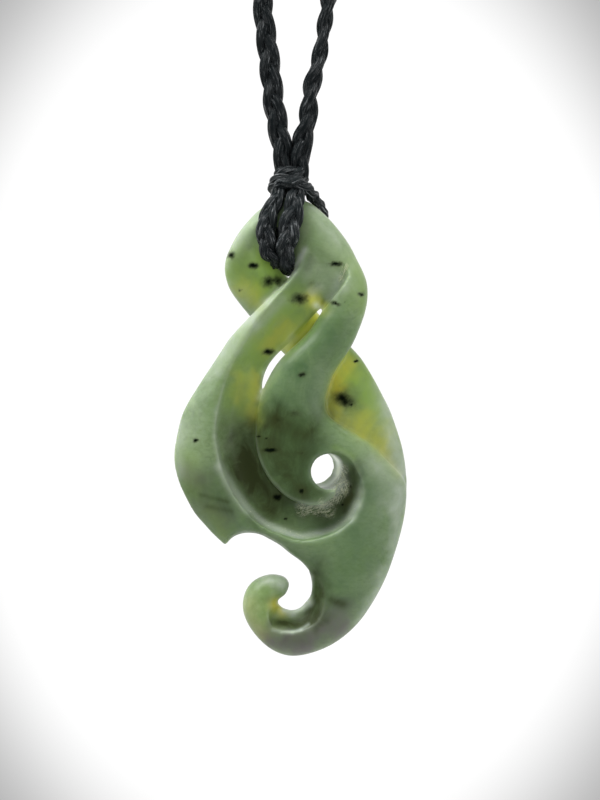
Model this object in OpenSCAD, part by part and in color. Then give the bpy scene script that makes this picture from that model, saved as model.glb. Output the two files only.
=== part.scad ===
/* [Stone] */
// Height of the carved stone
stone_h = 55; // [45:1:65]
// Width of the eye that is drilled through the spiral
eye_d = 4.3; // [3.4:0.1:4.6]
// How much thicker or thinner the stone is carved than its tables say
thickness = 1; // [0.9:0.05:1.1]

/* [Cord] */
// Height from where the loop hangs to the lowest point of the stone
drop = 380; // [370:5:390]
// Width of the plaited cord across its flat
plait_w = 2.5; // [2:0.1:2.6]
// Thickness of the plaited cord
plait_t = 1.7; // [1.4:0.1:1.9]
// Thickness of the single strand that is tucked behind the stone
strand_d = 1.5; // [1.2:0.1:1.6]

/* [Neck knot] */
// Length of the barrel that joins the two ends of the plait
barrel_l = 12; // [8:1:16]
// Width of that barrel
barrel_d = 4.4; // [4:0.1:5]

/* [Hidden] */

// Places are x to the right and z upward from the lowest point of the stone, as it is seen from the front.
// Levels are heights toward the front, so a level of 2 lies 2 mm in front of the middle of the stone.
steps = 2;
facets = 10;
stone_z = -drop;

// Sections of the strand that starts left of the cord and ends at the right rim, behind the others.
// [outer x, outer z, inner x, inner z, outer level, inner level, front, back, crest, roundness]
BACK_STRAND = [
    [ 2.2, 53.9,  1.6, 51.6,  0.0,  0.0, 2.1, 2.1, 0.50, 2.0],
    [-0.6, 55.1, -0.6, 51.7,  0.0,  0.0, 2.6, 2.6, 0.50, 2.0],
    [-3.5, 53.8, -2.8, 51.2,  0.0,  0.0, 2.5, 2.5, 0.50, 2.0],
    [-5.3, 52.1, -3.5, 50.3, -0.1,  0.0, 2.4, 2.4, 0.50, 2.0],
    [-6.6, 50.4, -3.8, 49.3, -0.3, -0.1, 2.3, 2.3, 0.50, 2.0],
    [-7.7, 48.2, -3.8, 48.4, -0.6, -0.4, 2.2, 2.2, 0.50, 2.1],
    [-8.0, 46.7, -3.2, 47.6, -0.9, -0.7, 2.1, 2.1, 0.50, 2.1],
    [-7.8, 45.2, -2.2, 47.0, -1.2, -1.0, 2.0, 2.1, 0.50, 2.1],
    [-7.1, 43.6, -1.2, 46.3, -1.5, -1.3, 2.0, 2.1, 0.50, 2.2],
    [-4.9, 40.8,  1.1, 44.2, -1.7, -1.6, 2.0, 2.2, 0.50, 2.3],
    [-1.1, 36.6,  3.3, 41.2, -1.8, -1.8, 2.1, 2.2, 0.50, 2.4],
    [ 1.4, 34.2,  5.4, 39.0, -1.7, -1.8, 2.1, 2.3, 0.50, 2.3],
    [ 2.4, 31.6,  7.3, 37.1, -1.6, -1.6, 2.1, 2.4, 0.50, 2.2],
    [ 2.6, 29.2,  8.6, 35.6, -1.4, -1.4, 2.2, 2.4, 0.48, 2.2],
    [ 2.8, 27.6, 10.0, 33.3, -1.2, -1.2, 2.3, 2.4, 0.46, 2.2],
    [ 3.2, 26.0, 11.0, 31.4, -1.0, -1.0, 2.3, 2.4, 0.46, 2.2],
    [ 4.2, 24.2, 12.1, 29.1, -0.8, -0.8, 2.1, 2.4, 0.50, 2.2],
    [ 6.0, 22.2, 13.4, 25.0, -0.5, -0.4, 1.6, 2.3, 0.50, 2.2],
    [ 8.0, 20.4, 13.9, 21.4, -0.3, -0.1, 0.9, 1.8, 0.50, 2.2],
    [10.0, 18.0, 13.8, 18.6,  0.0,  0.0, 0.5, 1.2, 0.50, 2.2]
];

// Sections of the raised face, from the top, round the right lobe, over the spiral and to the hook's tip.
// [inner x, inner z, outer x, outer z, inner level, outer level, front, back, crest, roundness]
FACE_STRAND = [
    [-1.0, 52.1, -1.2, 54.6,  0.0, 0.0, 2.2, 2.2, 0.50, 2.0],
    [-0.2, 50.8,  1.7, 54.7,  0.0, 0.0, 2.6, 2.6, 0.50, 2.0],
    [-0.3, 49.6,  4.3, 52.8,  0.2, 0.1, 2.8, 2.5, 0.50, 2.1],
    [-0.3, 47.8,  6.7, 49.9,  0.5, 0.3, 2.9, 2.4, 0.45, 2.1],
    [ 0.2, 46.4,  8.0, 47.5,  0.9, 0.5, 2.9, 2.3, 0.45, 2.1],
    [ 1.6, 44.9,  9.0, 45.2,  1.2, 0.8, 2.8, 2.3, 0.48, 2.2],
    [ 4.0, 43.0,  9.2, 43.4,  1.3, 1.1, 2.6, 2.4, 0.50, 2.2],
    [ 3.8, 41.6,  9.0, 41.8,  1.3, 1.2, 2.6, 2.5, 0.50, 2.2],
    [ 3.1, 40.4,  8.5, 40.1,  1.3, 1.2, 2.7, 2.6, 0.50, 2.2],
    [ 1.8, 38.6,  7.3, 37.3,  1.2, 1.2, 2.7, 2.7, 0.50, 2.2],
    [-1.3, 35.6,  5.2, 34.0,  1.1, 1.1, 2.7, 2.7, 0.50, 2.2],
    [-3.0, 32.8,  4.3, 31.5,  1.0, 1.1, 2.7, 2.8, 0.50, 2.2],
    [-3.9, 30.2,  4.1, 30.0,  0.9, 1.1, 2.7, 2.9, 0.50, 2.3],
    [-4.2, 27.7,  4.6, 28.8,  0.8, 1.1, 2.7, 3.0, 0.50, 2.3],
    [-5.0, 24.7,  5.9, 27.8,  0.7, 1.1, 2.7, 3.1, 0.50, 2.4],
    [-5.8, 22.0,  7.3, 27.0,  0.6, 1.1, 2.7, 3.2, 0.48, 2.5],
    [-6.4, 19.6,  9.0, 25.9,  0.5, 1.1, 2.7, 3.2, 0.46, 2.6],
    [-6.6, 17.4, 10.4, 24.8,  0.6, 1.0, 2.7, 3.4, 0.44, 2.6],
    [-6.3, 15.8, 11.5, 23.6,  0.8, 0.9, 2.6, 3.6, 0.42, 2.6],
    [-5.0, 14.9, 12.7, 22.4,  1.1, 0.7, 2.5, 3.8, 0.40, 2.5],
    [-3.6, 14.2, 13.6, 21.2,  1.3, 0.4, 2.5, 3.9, 0.38, 2.5],
    [-2.0, 13.4, 13.9, 19.5,  1.3, 0.1, 2.6, 3.9, 0.38, 2.4],
    [-0.4, 12.5, 13.6, 16.6,  1.1, 0.0, 2.7, 3.8, 0.40, 2.3],
    [ 1.1, 11.5, 12.8, 13.4,  0.8, 0.0, 2.8, 3.6, 0.44, 2.2],
    [ 2.1, 10.3, 11.6,  9.9,  0.4, 0.0, 2.9, 3.3, 0.50, 2.1],
    [ 2.5,  8.8, 10.1,  6.9,  0.1, 0.0, 2.9, 3.0, 0.54, 2.1],
    [ 2.4,  7.4,  8.1,  4.0,  0.0, 0.0, 2.9, 2.9, 0.54, 2.1],
    [ 1.8,  6.5,  5.6,  1.8,  0.0, 0.0, 2.8, 2.8, 0.54, 2.1],
    [ 1.1,  5.8,  2.9,  0.5,  0.0, 0.0, 2.7, 2.7, 0.54, 2.1],
    [ 0.2,  5.5,  0.2,  0.0,  0.0, 0.0, 2.6, 2.6, 0.52, 2.1],
    [-0.8,  5.7, -2.0,  0.6,  0.0, 0.0, 2.5, 2.5, 0.50, 2.1],
    [-1.4,  6.1, -3.8,  2.0,  0.0, 0.0, 2.4, 2.4, 0.50, 2.1],
    [-1.6,  6.5, -5.2,  3.9,  0.0, 0.0, 2.3, 2.3, 0.50, 2.1],
    [-1.5,  6.8, -5.8,  5.8,  0.0, 0.0, 2.2, 2.2, 0.50, 2.1],
    [-1.2,  7.0, -5.5,  7.7,  0.0, 0.0, 2.1, 2.1, 0.50, 2.1],
    [-0.8,  7.3, -4.4,  9.1,  0.0, 0.0, 1.9, 1.9, 0.50, 2.1],
    [-0.5,  7.7, -2.6,  9.8,  0.0, 0.0, 1.7, 1.7, 0.50, 2.1],
    [-0.3,  8.2, -1.0,  9.6,  0.0, 0.0, 1.3, 1.3, 0.50, 2.1],
    [-0.2,  8.7, -0.4,  9.1,  0.0, 0.0, 0.6, 0.6, 0.50, 2.0]
];

// Sections of the blade that forms the left rim, from the right of the cord down to its point.
// [outer x, outer z, inner x, inner z, outer level, inner level, front, back, crest, roundness]
BLADE = [
    [  0.8, 47.9,  5.4, 47.3, 1.2, 1.0, 2.2, 2.2, 0.30, 1.8],
    [ -0.2, 45.5,  5.2, 44.2, 1.3, 1.1, 2.3, 2.2, 0.16, 1.8],
    [ -2.5, 43.1,  4.3, 42.6, 1.3, 1.0, 2.3, 2.2, 0.14, 1.7],
    [ -4.9, 40.8,  2.8, 41.0, 1.1, 0.8, 2.3, 2.2, 0.18, 1.7],
    [ -7.3, 38.2,  1.1, 39.1, 0.9, 0.6, 2.3, 2.2, 0.24, 1.6],
    [ -8.5, 36.4, -0.2, 37.6, 0.8, 0.5, 2.4, 2.2, 0.27, 1.5],
    [-10.3, 33.7, -1.7, 36.2, 0.6, 0.5, 2.5, 2.2, 0.32, 1.5],
    [-11.4, 32.0, -2.7, 34.9, 0.6, 0.4, 2.5, 2.2, 0.36, 1.4],
    [-12.5, 30.2, -3.3, 33.4, 0.5, 0.4, 2.6, 2.3, 0.39, 1.4],
    [-13.2, 28.6, -3.5, 31.6, 0.5, 0.4, 2.6, 2.4, 0.42, 1.3],
    [-13.7, 26.5, -2.8, 29.2, 0.4, 0.4, 2.7, 2.5, 0.42, 1.3],
    [-14.0, 24.7, -2.0, 26.9, 0.4, 0.4, 2.7, 2.6, 0.42, 1.3],
    [-14.0, 23.2, -1.3, 24.5, 0.4, 0.4, 2.7, 2.7, 0.42, 1.3],
    [-13.7, 21.7, -0.7, 21.7, 0.4, 0.4, 2.7, 2.8, 0.42, 1.3],
    [-13.3, 20.5, -0.1, 19.3, 0.4, 0.4, 2.7, 2.8, 0.42, 1.3],
    [-12.5, 18.8,  0.4, 17.2, 0.4, 0.4, 2.7, 2.8, 0.44, 1.3],
    [-11.6, 17.2,  0.6, 15.4, 0.3, 0.4, 2.7, 2.8, 0.46, 1.3],
    [-10.4, 15.8,  0.5, 13.9, 0.3, 0.4, 2.7, 2.7, 0.48, 1.3],
    [ -9.4, 14.7,  0.1, 12.8, 0.2, 0.4, 2.7, 2.6, 0.50, 1.3],
    [ -7.9, 13.3, -0.1, 12.0, 0.1, 0.4, 2.6, 2.5, 0.52, 1.3]
];

// Sections of the channel between the blade and the face, which curls round the spiral into the eye.
// [ridge x, ridge z, wall x, wall z, ridge level, wall level, depth, deepest place]
CHANNEL = [
    [ 2.4, 50.8,  5.6, 50.6, 3.6, 3.6, 0.0, 0.50],
    [ 1.9, 49.4,  6.7, 49.0, 3.3, 3.3, 0.1, 0.50],
    [ 1.3, 48.0,  7.1, 47.5, 3.3, 3.2, 0.3, 0.50],
    [ 0.6, 46.5,  6.9, 46.0, 3.4, 2.9, 0.6, 0.55],
    [-0.6, 44.5,  6.3, 44.5, 3.5, 2.6, 0.9, 0.60],
    [-2.2, 42.4,  4.9, 42.7, 3.5, 2.0, 0.8, 0.62],
    [-3.5, 40.9,  3.9, 41.5, 3.4, 1.6, 0.8, 0.62],
    [-4.7, 39.2,  2.5, 39.6, 3.3, 1.4, 0.8, 0.60],
    [-5.6, 37.6,  1.0, 37.7, 3.2, 1.3, 0.9, 0.58],
    [-6.7, 35.6, -1.0, 35.9, 3.1, 1.2, 0.9, 0.56],
    [-7.6, 33.6, -2.5, 33.8, 3.1, 1.2, 0.9, 0.55],
    [-8.3, 31.6, -3.5, 31.6, 3.1, 1.1, 1.0, 0.55],
    [-8.8, 29.3, -4.1, 29.3, 3.1, 1.1, 1.1, 0.55],
    [-9.1, 27.1, -4.2, 27.1, 3.1, 1.1, 1.2, 0.55],
    [-8.9, 25.1, -4.1, 25.1, 3.1, 1.0, 1.2, 0.56],
    [-8.3, 22.7, -3.5, 23.0, 3.0, 1.0, 1.2, 0.54],
    [-7.3, 20.4, -2.4, 21.1, 2.8, 1.0, 1.2, 0.50],
    [-5.8, 18.1, -1.2, 19.8, 2.6, 1.0, 1.2, 0.46],
    [-3.5, 15.8,  0.1, 18.9, 2.5, 1.0, 1.2, 0.42],
    [-1.3, 14.8,  1.4, 18.4, 2.5, 1.0, 1.2, 0.40],
    [ 1.1, 14.1,  2.5, 18.2, 2.5, 1.0, 1.2, 0.40],
    [ 3.2, 14.4,  3.6, 18.3, 2.5, 1.0, 1.2, 0.40],
    [ 5.2, 15.1,  4.5, 18.8, 2.5, 0.9, 1.1, 0.40],
    [ 7.1, 16.5,  5.2, 19.4, 2.6, 0.9, 1.0, 0.42],
    [ 8.0, 18.0,  5.5, 20.4, 2.7, 0.9, 0.9, 0.44],
    [ 8.5, 19.4,  5.8, 21.1, 2.8, 1.0, 0.8, 0.46],
    [ 8.4, 21.1,  5.6, 22.1, 2.9, 1.2, 0.7, 0.50],
    [ 7.9, 22.3,  5.4, 22.7, 3.0, 1.5, 0.6, 0.50],
    [ 7.1, 23.6,  4.9, 23.2, 3.1, 1.9, 0.4, 0.50],
    [ 6.0, 24.4,  4.6, 23.4, 3.2, 2.4, 0.2, 0.50],
    [ 4.8, 24.7,  4.2, 23.5, 3.3, 3.0, 0.1, 0.50]
];

// Sections of the cove that runs along the inside of the hook.
// [edge x, edge z, rim x, rim z, edge level, rim level, depth, deepest place]
HOOK_COVE = [
    [ 1.9, 10.9,  2.5, 11.1, 1.6, 2.2, 0.0, 0.50],
    [ 2.2,  9.8,  3.4, 10.0, 1.1, 2.3, 0.2, 0.60],
    [ 2.3,  8.4,  3.9,  8.2, 0.8, 2.2, 0.4, 0.70],
    [ 2.1,  7.2,  3.8,  6.4, 0.7, 2.2, 0.5, 0.70],
    [ 1.5,  6.3,  3.2,  4.8, 0.7, 2.3, 0.6, 0.70],
    [ 0.7,  5.7,  1.8,  3.6, 0.7, 2.3, 0.7, 0.70],
    [-0.1,  5.5,  0.0,  3.1, 0.7, 2.3, 0.7, 0.70],
    [-0.9,  5.8, -1.5,  3.5, 0.8, 2.2, 0.5, 0.65],
    [-1.4,  6.2, -2.4,  4.6, 1.0, 2.0, 0.3, 0.60],
    [-1.5,  6.6, -2.6,  6.2, 1.6, 2.1, 0.0, 0.50]
];

// Outline of the bay above the hook, as it is cut through the stone: x, z
BAY = [
    [-12.0, 15.0],
    [ -8.6, 13.8],
    [ -7.9, 13.4],
    [ -7.1, 14.2],
    [ -6.0, 14.7],
    [ -4.9, 14.8],
    [ -3.7, 14.6],
    [ -2.5, 14.0],
    [ -1.3, 13.3],
    [ -0.2, 12.4],
    [  0.9, 11.5],
    [  1.7, 10.8],
    [  2.2, 10.2],
    [  1.0, 10.2],
    [ -1.5, 10.2],
    [ -5.0, 10.4],
    [-12.0, 10.6]
];
bay_first = 2;
bay_last = 12;
bay_flare = 0.9;
bay_depths = [-6 : 1.5 : 6];

// The eye slants to the left and upward as it goes back
eye_front = [4.45, 22.3];
eye_lean = [-0.26, 0.10];
cut_reach = 9;

// Routes of the two cord bundles that hold the stone: down its front, through its top hole and up its back.
// [x, y, z, half width, half thickness, turn]
LOOP_LEFT = [
    [-1.6, -2.6, 54.9, 0.90, 0.80, 0],
    [-1.8, -3.0, 54.4, 0.95, 0.80, 0],
    [-2.0, -3.4, 53.7, 1.00, 0.80, 0],
    [-2.3, -3.6, 52.8, 1.05, 0.80, 0],
    [-2.5, -3.4, 51.6, 1.10, 0.80, 0],
    [-2.7, -3.1, 50.4, 1.10, 0.80, 0],
    [-2.7, -2.5, 49.4, 1.00, 0.80, 0],
    [-2.7, -1.5, 48.8, 0.85, 0.75, 0],
    [-2.7,  0.0, 48.6, 0.80, 0.70, 0],
    [-2.7,  1.5, 48.8, 0.80, 0.75, 0],
    [-2.6,  2.6, 49.5, 0.90, 0.80, 0],
    [-2.4,  3.3, 50.6, 1.00, 0.80, 0],
    [-2.2,  3.5, 51.8, 1.00, 0.80, 0],
    [-2.0,  3.4, 53.0, 1.00, 0.80, 0],
    [-1.8,  3.2, 54.0, 0.95, 0.80, 0],
    [-1.6,  2.6, 54.9, 0.90, 0.80, 0]
];
LOOP_RIGHT = [
    [ 0.6, -2.6, 54.9, 0.90, 0.80, 0],
    [ 0.5, -3.0, 54.4, 0.95, 0.80, 0],
    [ 0.4, -3.4, 53.7, 1.05, 0.80, 0],
    [ 0.2, -3.7, 52.8, 1.10, 0.80, 0],
    [-0.1, -3.7, 51.6, 1.15, 0.80, 0],
    [-0.4, -3.6, 50.4, 1.10, 0.80, 0],
    [-0.6, -3.3, 49.3, 1.00, 0.80, 0],
    [-0.8, -2.7, 48.3, 0.90, 0.75, 0],
    [-1.0, -1.6, 47.7, 0.75, 0.70, 0],
    [-1.1,  0.0, 47.6, 0.65, 0.60, 0],
    [-1.1,  1.6, 47.9, 0.70, 0.70, 0],
    [-0.9,  2.7, 48.6, 0.80, 0.75, 0],
    [-0.6,  3.4, 49.8, 0.90, 0.80, 0],
    [-0.2,  3.7, 51.2, 1.00, 0.80, 0],
    [ 0.2,  3.6, 52.6, 1.00, 0.80, 0],
    [ 0.5,  3.3, 53.9, 0.95, 0.80, 0],
    [ 0.6,  2.6, 54.9, 0.90, 0.80, 0]
];

// Route of the single strand that leaves the wrap at the right and is tucked behind the stone: [x, y, z]
STRAND_ROUTE = [
    [2.8, -0.2, 56.3],
    [3.0,  0.4, 55.7],
    [3.2,  1.1, 55.0],
    [3.4,  2.0, 54.2],
    [3.5,  2.8, 53.2],
    [3.4,  3.5, 52.1],
    [2.9,  3.8, 51.0],
    [2.2,  3.8, 50.2],
    [1.5,  3.7, 49.7]
];

// The wrap: a stack of turns round the cords, just above the stone
wrap_x = -0.4;
wrap_low = 55.4;
wrap_high = 58.6;
wrap_turns = 3;
wrap_half_x = 2.0;
wrap_half_y = 2.4;
wrap_bulge = 0.45;

// Route of each plait from the wrap, with z upward from the stone's lowest point: [x, y, z, width, turn].
// The width is a fraction of the full size.
BRAID_LEFT_LOW = [
    [-1.1,  0.0, 58.8, 0.68, 0],
    [-1.2,  0.0, 60.6, 0.88, 0],
    [-1.7,  0.0, 63.7, 1.00, 0],
    [-2.1,  0.0, 67.0, 1.00, 0],
    [-2.6,  0.0, 72.0, 1.00, 0],
    [-3.4,  0.0, 79.0, 1.00, 0]
];
BRAID_RIGHT_LOW = [
    [ 0.8,  0.0, 58.9, 0.68, 0],
    [ 1.1,  0.0, 60.6, 0.88, 20],
    [ 1.9,  0.0, 63.7, 1.00, 50],
    [ 2.5,  0.0, 67.0, 1.00, 70],
    [ 3.4,  0.0, 72.0, 1.00, 75],
    [ 4.5,  0.0, 79.0, 1.00, 75]
];

// The rest of the way up to the neck knot, in the finished part's own frame: [distance from the middle, z]
BRAID_HIGH = [
    [13.9, -260.0],
    [28.1, -200.0],
    [42.2, -140.0],
    [51.7, -100.0],
    [57.0,  -77.5],
    [59.6,  -64.0],
    [59.9,  -52.0],
    [57.4,  -40.3],
    [51.4,  -26.9],
    [42.4,  -15.4],
    [31.0,   -6.4],
    [20.0,   -1.2],
    [11.5,    1.1],
    [ 6.4,    1.9]
];
right_turn = 75;
cord_sides = 10;
knot_chamfer = 0.6;

function blend_rows(a, b, c, d, t) =
    0.5 * (2 * b + (c - a) * t + (2 * a - 5 * b + 4 * c - d) * t * t + (3 * b - a - 3 * c + d) * t * t * t);

function row_at(rows, i) = rows[min(max(i, 0), len(rows) - 1)];

function smooth_rows(rows, n) = [
    for (i = [0 : len(rows) - 2], k = [0 : n - 1])
        blend_rows(row_at(rows, i - 1), rows[i], rows[i + 1], row_at(rows, i + 2), k / n),
    rows[len(rows) - 1]
];

// Places across a section, close together at its edges and with one at the crest
function across(j, n, crest) =
    j <= n / 2
    ? crest * (1 - cos(180 * j / n))
    : 1 - (1 - crest) * (1 - cos(180 * (n - j) / n));

// How high a rounded face stands at a place across the section: 0 at its edges, 1 at its crest
function swell(s, crest, power) =
    let (q = s < crest ? s / crest : (1 - s) / (1 - crest))
    pow(max(0, 1 - pow(max(0, 1 - q), power)), 1 / power);

function at(row, s, level) = [row[0] + (row[2] - row[0]) * s, -level, row[1] + (row[3] - row[1]) * s];

function chord(row, s) = row[4] + (row[5] - row[4]) * s;

// One section of a strand, as a ring of points: the front face and then the back face
function strand_ring(row, n) = [
    for (j = [0 : n])
        let (s = across(j, n, row[8]))
        at(row, s, chord(row, s) + thickness * row[6] * swell(s, row[8], row[9])),
    for (j = [n - 1 : -1 : 1])
        let (s = across(j, n, 0.5))
        at(row, s, chord(row, s) - thickness * row[7] * swell(s, 0.5, 2.2))
];

// One section of what a channel takes away: its floor and then a straight top in front of the stone
function channel_ring(row, n) = [
    for (j = [n : -1 : 0])
        let (s = j / n)
        at(row, s, thickness * (chord(row, s) - row[6] * swell(s, row[7], 2))),
    at(row, 0, cut_reach),
    at(row, 1, cut_reach)
];

function bay_normal(i) =
    let (t = BAY[i + 1] - BAY[i - 1])
    [-t[1], t[0]] / norm(t);

// The bay at one depth: its edge over the stone flares toward both faces
function bay_ring(level) = [
    for (i = [0 : len(BAY) - 1])
        let (out = i >= bay_first && i <= bay_last ? bay_flare * pow(level / 4, 2) * bay_normal(i) : [0, 0])
        [BAY[i][0] + out[0], -level, BAY[i][1] + out[1]]
];

// A closed skin over rings of equal length
module skin(rings) {
    n = len(rings[0]);
    last = len(rings) - 1;
    sides = [
        for (i = [0 : last - 1], j = [0 : n - 1])
            let (a = i * n + j, b = i * n + (j + 1) % n)
            each [[a, b, b + n], [a, b + n, a + n]]
    ];
    first_cap = [for (j = [n - 1 : -1 : 0]) j];
    last_cap = [for (j = [0 : n - 1]) last * n + j];
    polyhedron(points = [for (ring = rings) each ring], faces = concat(sides, [first_cap, last_cap]));
}

module strand(rows) {
    skin([for (row = smooth_rows(rows, steps)) strand_ring(row, facets)]);
}

module channel(rows) {
    skin([for (row = smooth_rows(rows, steps)) channel_ring(row, facets)]);
}

module eye() {
    lean = [eye_lean[0], 1, eye_lean[1]];
    translate([eye_front[0], -3, eye_front[1]])
        rotate([-90 + atan2(lean[2], 1), 0, -atan2(lean[0], 1)])
            cylinder(d = eye_d, h = 30, center = true, $fn = 32);
}

module bay() {
    skin([for (level = bay_depths) bay_ring(level)]);
}

// One section of an oval cord on a route of [x, y, z, half size along the axis, half size across it, turn]
function cord_ring(rows, i, n, axis) =
    let (
        here = rows[i],
        ahead = point_of(row_at(rows, i + 1)) - point_of(row_at(rows, i - 1)),
        across = cross(axis, ahead) / norm(cross(axis, ahead)),
        side = cross(ahead, across) / norm(ahead)
    )
    [
        for (j = [0 : n - 1])
            let (
                a = 360 * j / n,
                u = here[3] * cos(a),
                v = here[4] * sin(a),
                w = u * cos(here[5]) - v * sin(here[5]),
                h = u * sin(here[5]) + v * cos(here[5])
            )
            point_of(here) + w * side + h * across
    ];

function point_of(row) = [row[0], row[1], row[2]];

module cord(rows, axis) {
    skin([for (i = [0 : len(rows) - 1]) cord_ring(rows, i, cord_sides, axis)]);
}

module greenstone_twist() {
    color("darkseagreen")
        translate([0, 0, stone_z])
            resize([0, 0, stone_h], auto = true)
                difference() {
                    union() {
                        strand(BACK_STRAND);
                        difference() {
                            union() {
                                strand(FACE_STRAND);
                                strand(BLADE);
                            }
                            channel(CHANNEL);
                            channel(HOOK_COVE);
                            bay();
                        }
                    }
                    eye();
                }
}

module lashing_loop_left() {
    color("#1b1b1c")
        translate([0, 0, stone_z])
            cord(smooth_rows(LOOP_LEFT, steps), [1, 0, 0]);
}

module lashing_loop_right() {
    color("#1b1b1c")
        translate([0, 0, stone_z])
            cord(smooth_rows(LOOP_RIGHT, steps), [1, 0, 0]);
}

module lashing_strand() {
    color("#1b1b1c")
        translate([0, 0, stone_z])
            cord(
                [for (row = smooth_rows(STRAND_ROUTE, steps)) concat(row, [strand_d / 2, strand_d / 2, 0])],
                [1, 0, 0]
            );
}

// A level ring of the wrap
function wrap_ring(z, n) =
    let (out = wrap_bulge * abs(sin(180 * wrap_turns * (z - wrap_low) / (wrap_high - wrap_low))))
    [
        for (j = [0 : n - 1])
            let (a = -360 * j / n)
            [wrap_x + (wrap_half_x + out) * cos(a), (wrap_half_y + out) * sin(a), z]
    ];

module lashing_wrap() {
    rings = 4 * wrap_turns;
    color("#1b1b1c")
        translate([0, 0, stone_z])
            skin([
                for (i = [0 : rings])
                    wrap_ring(wrap_low + (wrap_high - wrap_low) * i / rings, 2 * cord_sides)
            ]);
}

// The whole route of one plait, from the wrap to the neck knot; side is -1 for the left and 1 for the right
function braid_route(low, side, turn) = concat(
    [for (row = low) [row[0], row[1], row[2] + stone_z, row[3] * plait_t / 2, row[3] * plait_w / 2, row[4]]],
    [for (row = BRAID_HIGH) [side * row[0], 0, row[1], plait_t / 2, plait_w / 2, turn]]
);

module braid_left() {
    color("#1b1b1c")
        cord(smooth_rows(braid_route(BRAID_LEFT_LOW, -1, 0), steps), [0, 1, 0]);
}

module braid_right() {
    color("#1b1b1c")
        cord(smooth_rows(braid_route(BRAID_RIGHT_LOW, 1, right_turn), steps), [0, 1, 0]);
}

module neck_knot() {
    r = barrel_d / 2;
    color("#1b1b1c")
        translate([-barrel_l / 2, 0, r])
            rotate([0, 90, 0])
                rotate_extrude($fn = 32)
                    polygon([
                        [0, 0],
                        [r - knot_chamfer, 0],
                        [r, knot_chamfer],
                        [r, barrel_l - knot_chamfer],
                        [r - knot_chamfer, barrel_l],
                        [0, barrel_l]
                    ]);
}

greenstone_twist();
lashing_loop_left();
lashing_loop_right();
lashing_strand();
lashing_wrap();
braid_left();
braid_right();
neck_knot();
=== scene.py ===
"""A greenstone twist pendant on a plaited cord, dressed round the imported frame.

Sizes are millimetres while a piece is made, and metres once it is finished. A place on the stone is given as
x to the right, z upward from its lowest point and a level, which is its height toward the front.
"""

import logging
import math
from dataclasses import dataclass, field, replace
from enum import Enum

import bpy
import numpy as np
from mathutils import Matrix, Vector


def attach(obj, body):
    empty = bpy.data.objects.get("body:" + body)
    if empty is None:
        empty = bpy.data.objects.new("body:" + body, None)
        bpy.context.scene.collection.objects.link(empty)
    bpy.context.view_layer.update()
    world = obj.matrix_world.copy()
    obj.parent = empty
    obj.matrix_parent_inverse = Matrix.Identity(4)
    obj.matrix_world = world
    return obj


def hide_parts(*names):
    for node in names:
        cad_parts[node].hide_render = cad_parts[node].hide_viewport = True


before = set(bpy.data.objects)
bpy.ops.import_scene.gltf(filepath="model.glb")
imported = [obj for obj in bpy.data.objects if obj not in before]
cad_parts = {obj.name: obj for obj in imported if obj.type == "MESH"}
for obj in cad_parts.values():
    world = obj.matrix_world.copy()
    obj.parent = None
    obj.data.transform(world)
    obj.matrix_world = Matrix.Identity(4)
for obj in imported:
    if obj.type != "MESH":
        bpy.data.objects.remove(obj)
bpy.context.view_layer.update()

log = logging.getLogger("pendant")

Finish = bpy.types.Material
Piece = bpy.types.Object
Socket = bpy.types.NodeSocket
Triple = tuple[float, float, float]
Range = tuple[float, ...]
# A cord's middle line in millimetres, and half its thickness at each point
Line = tuple[np.ndarray, np.ndarray]

MM = 0.001
BODY = "root"
# How far the stone's lowest point hangs below the neck knot, and the stone's height, in millimetres
DROP = 380.0
STONE_HEIGHT = 55.0
# The stretch that changes nothing, which is also plain white
EVEN = (1.0, 1.0, 1.0)
# How fast a mark fades with the square of the distance from its middle
FADE_RATE = 0.7

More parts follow.
